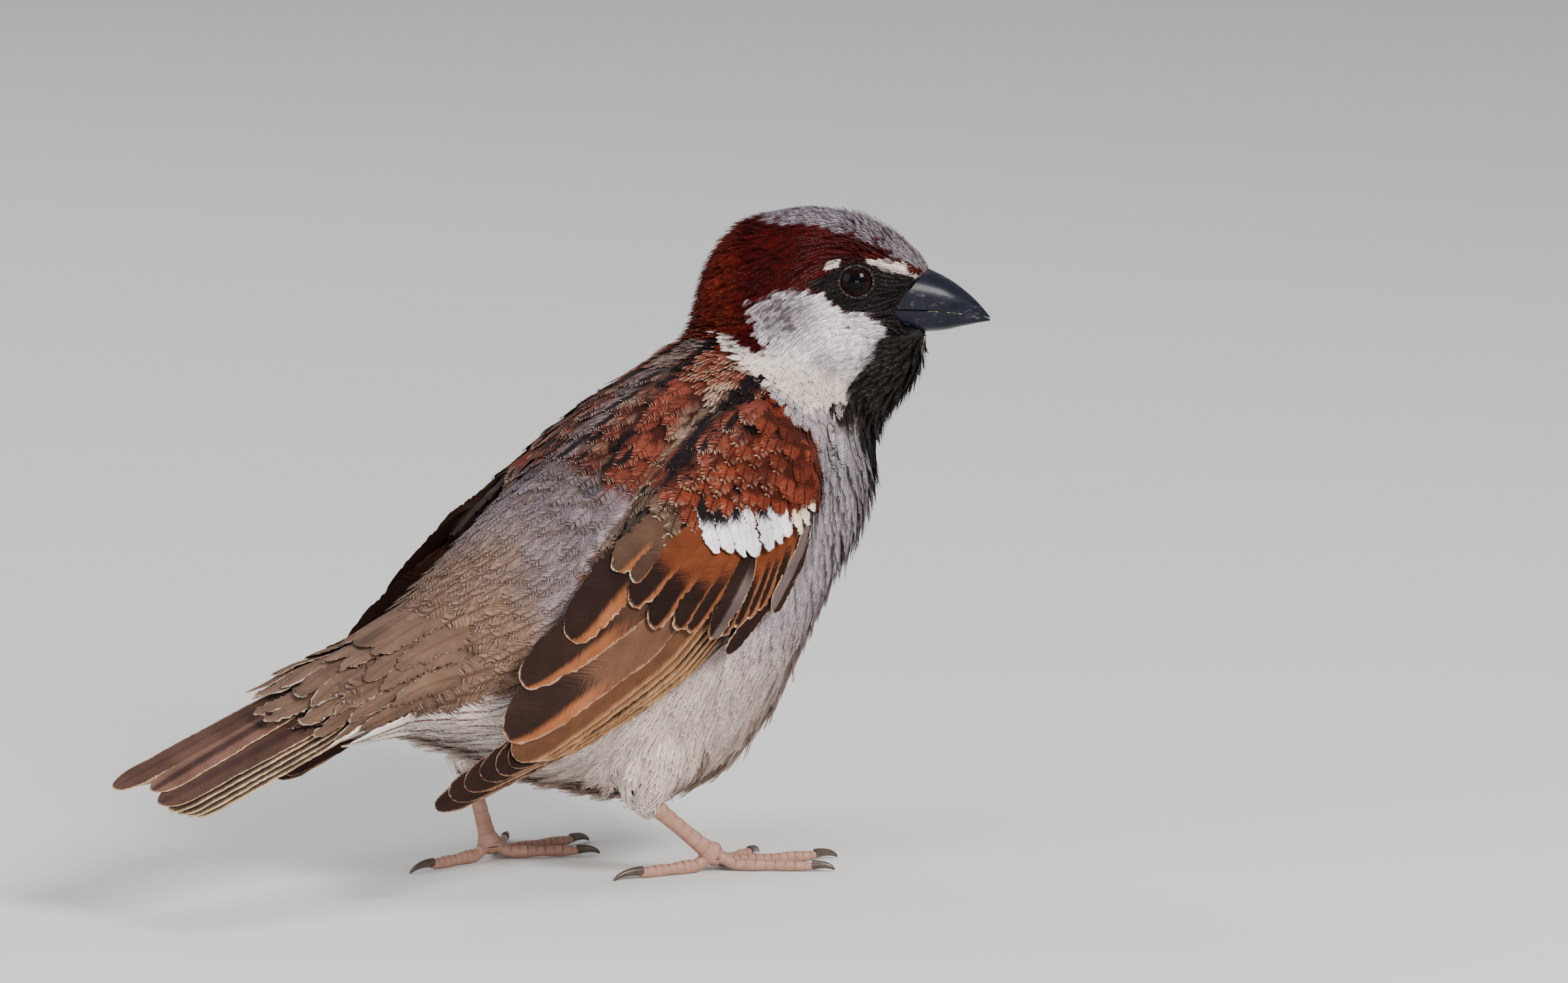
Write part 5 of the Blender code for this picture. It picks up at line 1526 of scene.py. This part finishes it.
def hornMaterial():
    made, tree, shader = plainMaterial("bill horn", (0.03, 0.03, 0.04), 0.34, 0.14, 0.05, 0.15)
    place = objectPlace(tree)
    stretched = tree.nodes.new("ShaderNodeMapping")
    stretched.inputs["Rotation"].default_value = (0, 0, -headAngle)
    stretched.inputs["Scale"].default_value = billLooks["grain"]
    tree.links.new(place, stretched.inputs["Vector"])
    streaks = noiseNode(tree, stretched.outputs["Vector"], 1.0, 5.0, 0.6)
    worn = rampBetween(tree, streaks, 0.56, 0.72)
    blue = mixColour(tree, noiseNode(tree, place, 500.0), *billLooks["blue"])
    horn = mixColour(tree, mathNode(tree, "MULTIPLY", worn, 0.35), blue, billLooks["worn"])
    flakes = mathNode(tree, "MULTIPLY", attributeOf(tree, "gapeAt")["Fac"],
                      noiseNode(tree, place, 1400.0, 4.0))
    flaked = rampBetween(tree, flakes, 0.42, 0.58)
    tree.links.new(mixColour(tree, flaked, horn, billLooks["gape"]), shader.inputs["Base Color"])
    tree.links.new(mathNode(tree, "MULTIPLY_ADD", worn, 0.25, 0.30), shader.inputs["Roughness"])
    bumpInto(tree, shader, streaks, 0.00008, 0.35)
    return made


def billRings(arched):
    rings = []
    sign = 1 if arched else -1
    for ahead in np.concatenate([np.linspace(9.4, 21.5, 28), np.linspace(21.8, 22.6, 5)]):
        crest = easeTable(billPlan["culmen" if arched else "keel"], ahead)
        flat = easeTable(billPlan["gape"], ahead) + sign * billPlan["gap"]
        if not arched:
            crest = min(crest, flat - billPlan["thinnest"])
        half = easeTable(billPlan["half"], ahead)
        ring = []
        for t in np.linspace(0, math.pi, 23):
            ridge = math.sin(t) ** billPlan["roundness"][0 if arched else 1]
            bulge = 1.0 + 0.05 * math.sin(2 * t) ** 2
            ring.append(headPoint(ahead, half * math.cos(t) * bulge, flat + (crest - flat) * ridge))
        ring += [headPoint(ahead, half * share, flat + 0.12 * sign) for share in (-0.6, -0.2, 0.2, 0.6)]
        rings.append(ring)
    return rings


hornFinish = hornMaterial()
for part, arched in (("upper", True), ("lower", False)):
    half = loftedSolid(f"bill_{part}_horn", billRings(arched), hornFinish, f"bill_{part}")
    ahead, _, up = headPlace(toBird(meshArrays(half.data)[0]))
    nearGape = smoothStep(0.5, 0.05, np.abs(up + 0.15 - easeTable(billPlan["gape"], ahead)))
    nearGape *= smoothStep(13.0, 15.0, ahead) * smoothStep(21.0, 18.5, ahead)
    giveValues(half.data, "gapeAt", nearGape)
print("bill shaped")

# eyes
def eyeMaterial():
    made, tree, shader = plainMaterial("eye", (0.01, 0.006, 0.005), 0.05, 0.09)
    outsidePupil = rampBetween(tree, attributeOf(tree, "fromAxis")["Fac"], *eyePlan["pupil"])
    iris = mixColour(tree, noiseNode(tree, objectPlace(tree), 2500.0), (0.004, 0.0012, 0.001),
                     (0.014, 0.004, 0.003))
    tree.links.new(mixColour(tree, outsidePupil, (0.002, 0.002, 0.003), iris), shader.inputs["Base Color"])
    return made


def lidMaterial():
    made, tree, shader = plainMaterial("eyelid skin", (0.03, 0.025, 0.024), 0.6, 0.15)
    light = rampBetween(tree, cellNode(tree, objectPlace(tree), 2600.0), 0.45, 0.1)
    tree.links.new(mixColour(tree, light, (0.010, 0.007, 0.007), (0.150, 0.125, 0.125)),
                   shader.inputs["Base Color"])
    bumpInto(tree, shader, light, 0.00012)
    return made


lidPlan = {"wide": 1.06, "high": 0.97, "beyond": 0.16, "thick": 0.22, "sunk": 0.02, "proud": 0.20}


def lidRings(middle, outward):
    # the lid is a low ring of skin round the ball
    level = np.cross(outward, upward)
    level /= np.linalg.norm(level)
    over = np.cross(level, outward)
    edgeOut = math.sqrt(eyePlan["ball"] ** 2 - eyePlan["opening"] ** 2) + lidPlan["sunk"]
    rings = []
    for t in np.linspace(0, 2 * math.pi, 49)[:-1]:
        radial = level * math.cos(t) * lidPlan["wide"] + over * math.sin(t) * lidPlan["high"]
        ring = []
        for s in np.linspace(0, 2 * math.pi, 13)[:-1]:
            reach = eyePlan["opening"] + lidPlan["beyond"] + lidPlan["thick"] * math.cos(s)
            ring.append(middle + radial * reach + outward * (edgeOut + lidPlan["proud"] * math.sin(s)))
        rings.append(ring)
    return rings


eyeFinish, lidFinish = eyeMaterial(), lidMaterial()
for eyeName, middle, outward in zip(("eye_left", "eye_right"), eyeMiddles, eyeOutwards):
    bm = bmesh.new()
    bmesh.ops.create_uvsphere(bm, u_segments=48, v_segments=32, radius=eyePlan["ball"] / 1000)
    turn = Vector(upward).rotation_difference(Vector(outward)).to_matrix().to_4x4()
    bmesh.ops.transform(bm, matrix=Matrix.Translation(Vector(toModel(middle))) @ turn, verts=bm.verts)
    mesh = meshFrom(bm, eyeName + "_ball", eyeFinish)
    flat, above = fromEye(toBird(meshArrays(mesh)[0]), middle, outward)
    giveValues(mesh, "fromAxis", np.where(above < 0, 1, flat / eyePlan["ball"]))
    ball = inScene(eyeName + "_ball", mesh)
    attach(ball, "root")
    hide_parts(eyeName)
    bm = bmesh.new()
    loops = [[bm.verts.new(Vector(p)) for p in toModel(np.array(ring))] for ring in lidRings(middle, outward)]
    for first, second in zip(loops, loops[1:] + loops[:1]):
        edges = [bm.edges.get(pair) or bm.edges.new(pair)
                 for loop in (first, second) for pair in zip(loop, loop[1:] + loop[:1])]
        bmesh.ops.bridge_loops(bm, edges=edges)
    bmesh.ops.recalc_face_normals(bm, faces=bm.faces)
    lid = inScene(eyeName + "_lid", meshFrom(bm, eyeName + "_lid", lidFinish))
    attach(lid, "root")
print("eyes set")

# legs and feet
legPlan = {
    "right": {"ankle": (-2.4, -13.0, 9.6), "foot": (7.4, -13.0), "turn": -8.0},
    "left": {"ankle": (-12.7, 13.0, 12.2), "foot": (-9.6, 13.0), "turn": 8.0},
    "joint": 2.2, "shank": 0.95, "knuckle": 0.35, "hidden": 2.0, "scutes": 9,
}
# Each toe: its number, heading, length and half width, and the length of its claw.
toePlan = ((1, 180.0, 11.2, 0.85, 5.6), (2, -34.0, 12.4, 0.75, 3.8), (3, 0.0, 16.4, 0.8, 4.4),
           (4, 34.0, 13.6, 0.72, 3.6))
scaleLooks = {"flesh": ((0.300, 0.140, 0.095), (0.480, 0.280, 0.210)), "dirt": (0.090, 0.045, 0.035)}


def scaleMaterial():
    made, tree, shader = plainMaterial("leg scales", (0.36, 0.2, 0.14), 0.48, 0.4)
    place, seam = objectPlace(tree), attributeOf(tree, "seam")["Fac"]
    flesh = mixColour(tree, noiseNode(tree, place, 700.0, 4.0), *scaleLooks["flesh"])
    dirt = mathNode(tree, "MULTIPLY", seam, 0.75)
    tree.links.new(mixColour(tree, dirt, flesh, scaleLooks["dirt"]), shader.inputs["Base Color"])
    cells = mathNode(tree, "MULTIPLY", cellNode(tree, place, 2300.0), -0.5)
    bumpInto(tree, shader, mathNode(tree, "SUBTRACT", cells, seam), 0.00012, 0.6)
    return made


scaleFinish = scaleMaterial()
clawFinish = cloudedMaterial("claw horn", {
    "colours": ((0.022, 0.014, 0.012), (0.110, 0.070, 0.055)), "roughness": 0.35, "specular": 0.5,
    "coat": 0.2, "cloud": 900.0})


def tubeRings(path, radii, squash, plates, count):
    # rings round a path that stay above the floor; each plate swells towards its lower edge and drops to
    # the next, with a seam between them
    rings, seams = [], []
    path = np.array(path, float)
    for i, point in enumerate(path):
        axis = path[min(i + 1, len(path) - 1)] - path[max(i - 1, 0)]
        axis = axis / np.linalg.norm(axis)
        level = np.cross(axis, upward)
        steep = np.linalg.norm(level) <= 0.05
        level = np.array([0, 1.0, 0]) if steep else level / np.linalg.norm(level)
        over = np.cross(level, axis)
        part = i / (len(path) - 1) * plates % 1.0
        seam = max(0.0, 1 - min(part, 1 - part) * 7)
        ring, seamRow = [], []
        for t in np.linspace(0, 2 * math.pi, count + 1)[:-1]:
            above = max(0.0, math.sin(t)) ** 0.5
            radius = radii[i] * (1 + 0.10 * part**1.5 * above)
            place = point + level * math.cos(t) * radius + over * math.sin(t) * radius * squash[i]
            place[2] = max(place[2], 0.0)
            ring.append(place)
            seamRow.append(seam * (0.35 + 0.65 * above))
        rings.append(ring)
        seams.append(seamRow)
    return rings, seams


def scaledSolid(name, tube, node):
    # a lofted solid keeps the rings' order, then adds the two cap middles
    rings, seams = tube
    piece = loftedSolid(name, rings, scaleFinish, node)
    values = np.zeros(len(piece.data.vertices))
    flat = np.array(seams).ravel()
    values[:len(flat)] = flat
    giveValues(piece.data, "seam", values)


def legTube(ankle, joint):
    way = (joint - ankle) / np.linalg.norm(joint - ankle)
    start = ankle - way * legPlan["hidden"]
    path, radii, squash = [], [], []
    for t in np.linspace(0, 1, 64):
        path.append(start + (joint - start) * t)
        waist = 1.12 - 0.22 * math.sin(math.pi * min(t * 1.05, 1))
        radii.append(legPlan["shank"] * waist + legPlan["knuckle"] * smoothStep(0.86, 1.0, t))
        squash.append(1.25 - 0.1 * t)
    for t in np.linspace(0.12, 1, 7):
        path.append(joint + (way * (1 - t) * 0.4 - upward * t) * 1.4 * t)
        rounded = math.sqrt(max(1 - (t * 0.92) ** 2, 0.05))
        radii.append((legPlan["shank"] + legPlan["knuckle"]) * rounded + 0.15)
        squash.append(1.1)
    return tubeRings(path, radii, squash, legPlan["scutes"], 20)


def toeTube(sole, along, length, half, plates):
    path, radii = [], []
    for t in np.linspace(0, 1, 66):
        pads = 0.5 + 0.5 * math.cos(2 * math.pi * 2.5 * t + 0.6)
        tip = 1.0 - 0.28 * t
        rise = 0.95 * tip + 1.1 * (1 - smoothStep(0, 0.22, t)) * 0.9
        path.append(sole + along * (0.4 + (length - 0.4) * t) + upward * rise)
        radii.append(half * tip * (0.90 + 0.16 * pads) * (1 - 0.30 * smoothStep(0.93, 1.0, t)))
    return tubeRings(path, radii, [1.12] * len(path), plates, 16)


def clawTube(sole, along, length, claw):
    # the claw bends down from its toe's end
    path, radii = [], []
    firstBend = math.radians(12)
    for t in np.linspace(0, 1, 16):
        bend = math.radians(12 + 62 * t)
        reach = length - 0.35 + (claw + 0.5) * (math.sin(bend) - math.sin(firstBend)) / 1.05
        up = 0.66 + claw * 0.30 * (math.cos(bend * 0.9) - 0.80) + 0.75 * t * (1 - t)
        path.append(sole + along * reach + upward * up)
        radii.append(0.50 * (1 - t) ** 0.7 + 0.05)
    return tubeRings(path, radii, [1.2] * len(path), 1, 12)


for sideSign, sideName in ((1, "left"), (-1, "right")):
    leg = legPlan[sideName]
    sole = np.array([*leg["foot"], 0.0])
    joint = sole + upward * legPlan["joint"]
    scaledSolid(f"tarsus_{sideName}_scaled", legTube(np.array(leg["ankle"]), joint), f"leg_{sideName}_tarsus")
    for number, aim, length, half, claw in toePlan:
        heading = math.radians(leg["turn"] + sideSign * aim)
        along = np.array([math.cos(heading), math.sin(heading), 0.0])
        scaledSolid(f"toe_{sideName}_{number}_scaled",
                    toeTube(sole, along, length, half, 13 if number == 3 else 10),
                    f"foot_{sideName}_toe_{number}")
        loftedSolid(f"claw_{sideName}_{number}_horn", clawTube(sole, along, length, claw)[0], clawFinish,
                    f"foot_{sideName}_claw_{number}")
print("legs and feet scaled")

# floor, light and camera
floorPlan = {"size": 3.0, "colour": (0.74, 0.74, 0.72)}
bm = bmesh.new()
bmesh.ops.create_grid(bm, x_segments=1, y_segments=1, size=floorPlan["size"])
floorFinish = plainMaterial("pale floor", floorPlan["colour"], 0.85, 0.2)[0]
floor = inScene("floor", meshFrom(bm, "floor", floorFinish))

world = bpy.data.worlds.new("studio")
bpy.context.scene.world = world
world.use_nodes = True
background = world.node_tree.nodes["Background"].inputs
background["Color"].default_value = (0.86, 0.90, 0.96, 1.0)
background["Strength"].default_value = 0.42

viewPlan = {"azimuth": -40.0, "elevation": 8.0, "lens": 300.0, "distance": 1.747, "aim": (30.7, 0.0, 47.2)}
azimuth, elevation = math.radians(viewPlan["azimuth"]), math.radians(viewPlan["elevation"])
flatNear = np.array([math.sin(azimuth), -math.cos(azimuth), 0.0])
toCamera = flatNear * math.cos(elevation) + upward * math.sin(elevation)
aim = toModel(np.array(viewPlan["aim"]))
cameraData = bpy.data.cameras.new("camera")
cameraData.lens = viewPlan["lens"]
cameraData.sensor_width = 36.0
cameraData.clip_start = 0.05
camera = inScene("camera", cameraData)
camera.location = aim + toCamera * viewPlan["distance"]
camera.rotation_euler = Vector(-toCamera).to_track_quat("-Z", "Y").to_euler()
bpy.context.scene.camera = camera

right = np.cross(-toCamera, upward)
right /= np.linalg.norm(right)
# Each light: its place to the right of the bird, towards the camera and up, its size, power and colour.
lights = {"key": ((0.55, 0.75, 0.62), 0.36, 15.0, (1.0, 0.965, 0.92)),
          "fill": ((-0.80, 0.55, 0.35), 0.7, 4.0, (0.92, 0.96, 1.0)),
          "low": ((0.10, 0.85, -0.01), 0.3, 2.2, (1.0, 0.98, 0.95)),
          "top": ((0.0, 0.1, 1.1), 0.6, 4.0, (1.0, 1.0, 1.0)),
          "back": ((-0.5, -0.8, 0.7), 0.4, 3.0, (1.0, 1.0, 1.0))}
for name, ((aside, near, above), size, power, colour) in lights.items():
    data = bpy.data.lights.new(name, "AREA")
    data.energy, data.size, data.color = power, size, colour
    lamp = inScene(name, data)
    place = aim + right * aside + flatNear * near + upward * above
    lamp.location = place
    lamp.rotation_euler = Vector(aim - place).to_track_quat("-Z", "Y").to_euler()

bpy.context.view_layer.update()
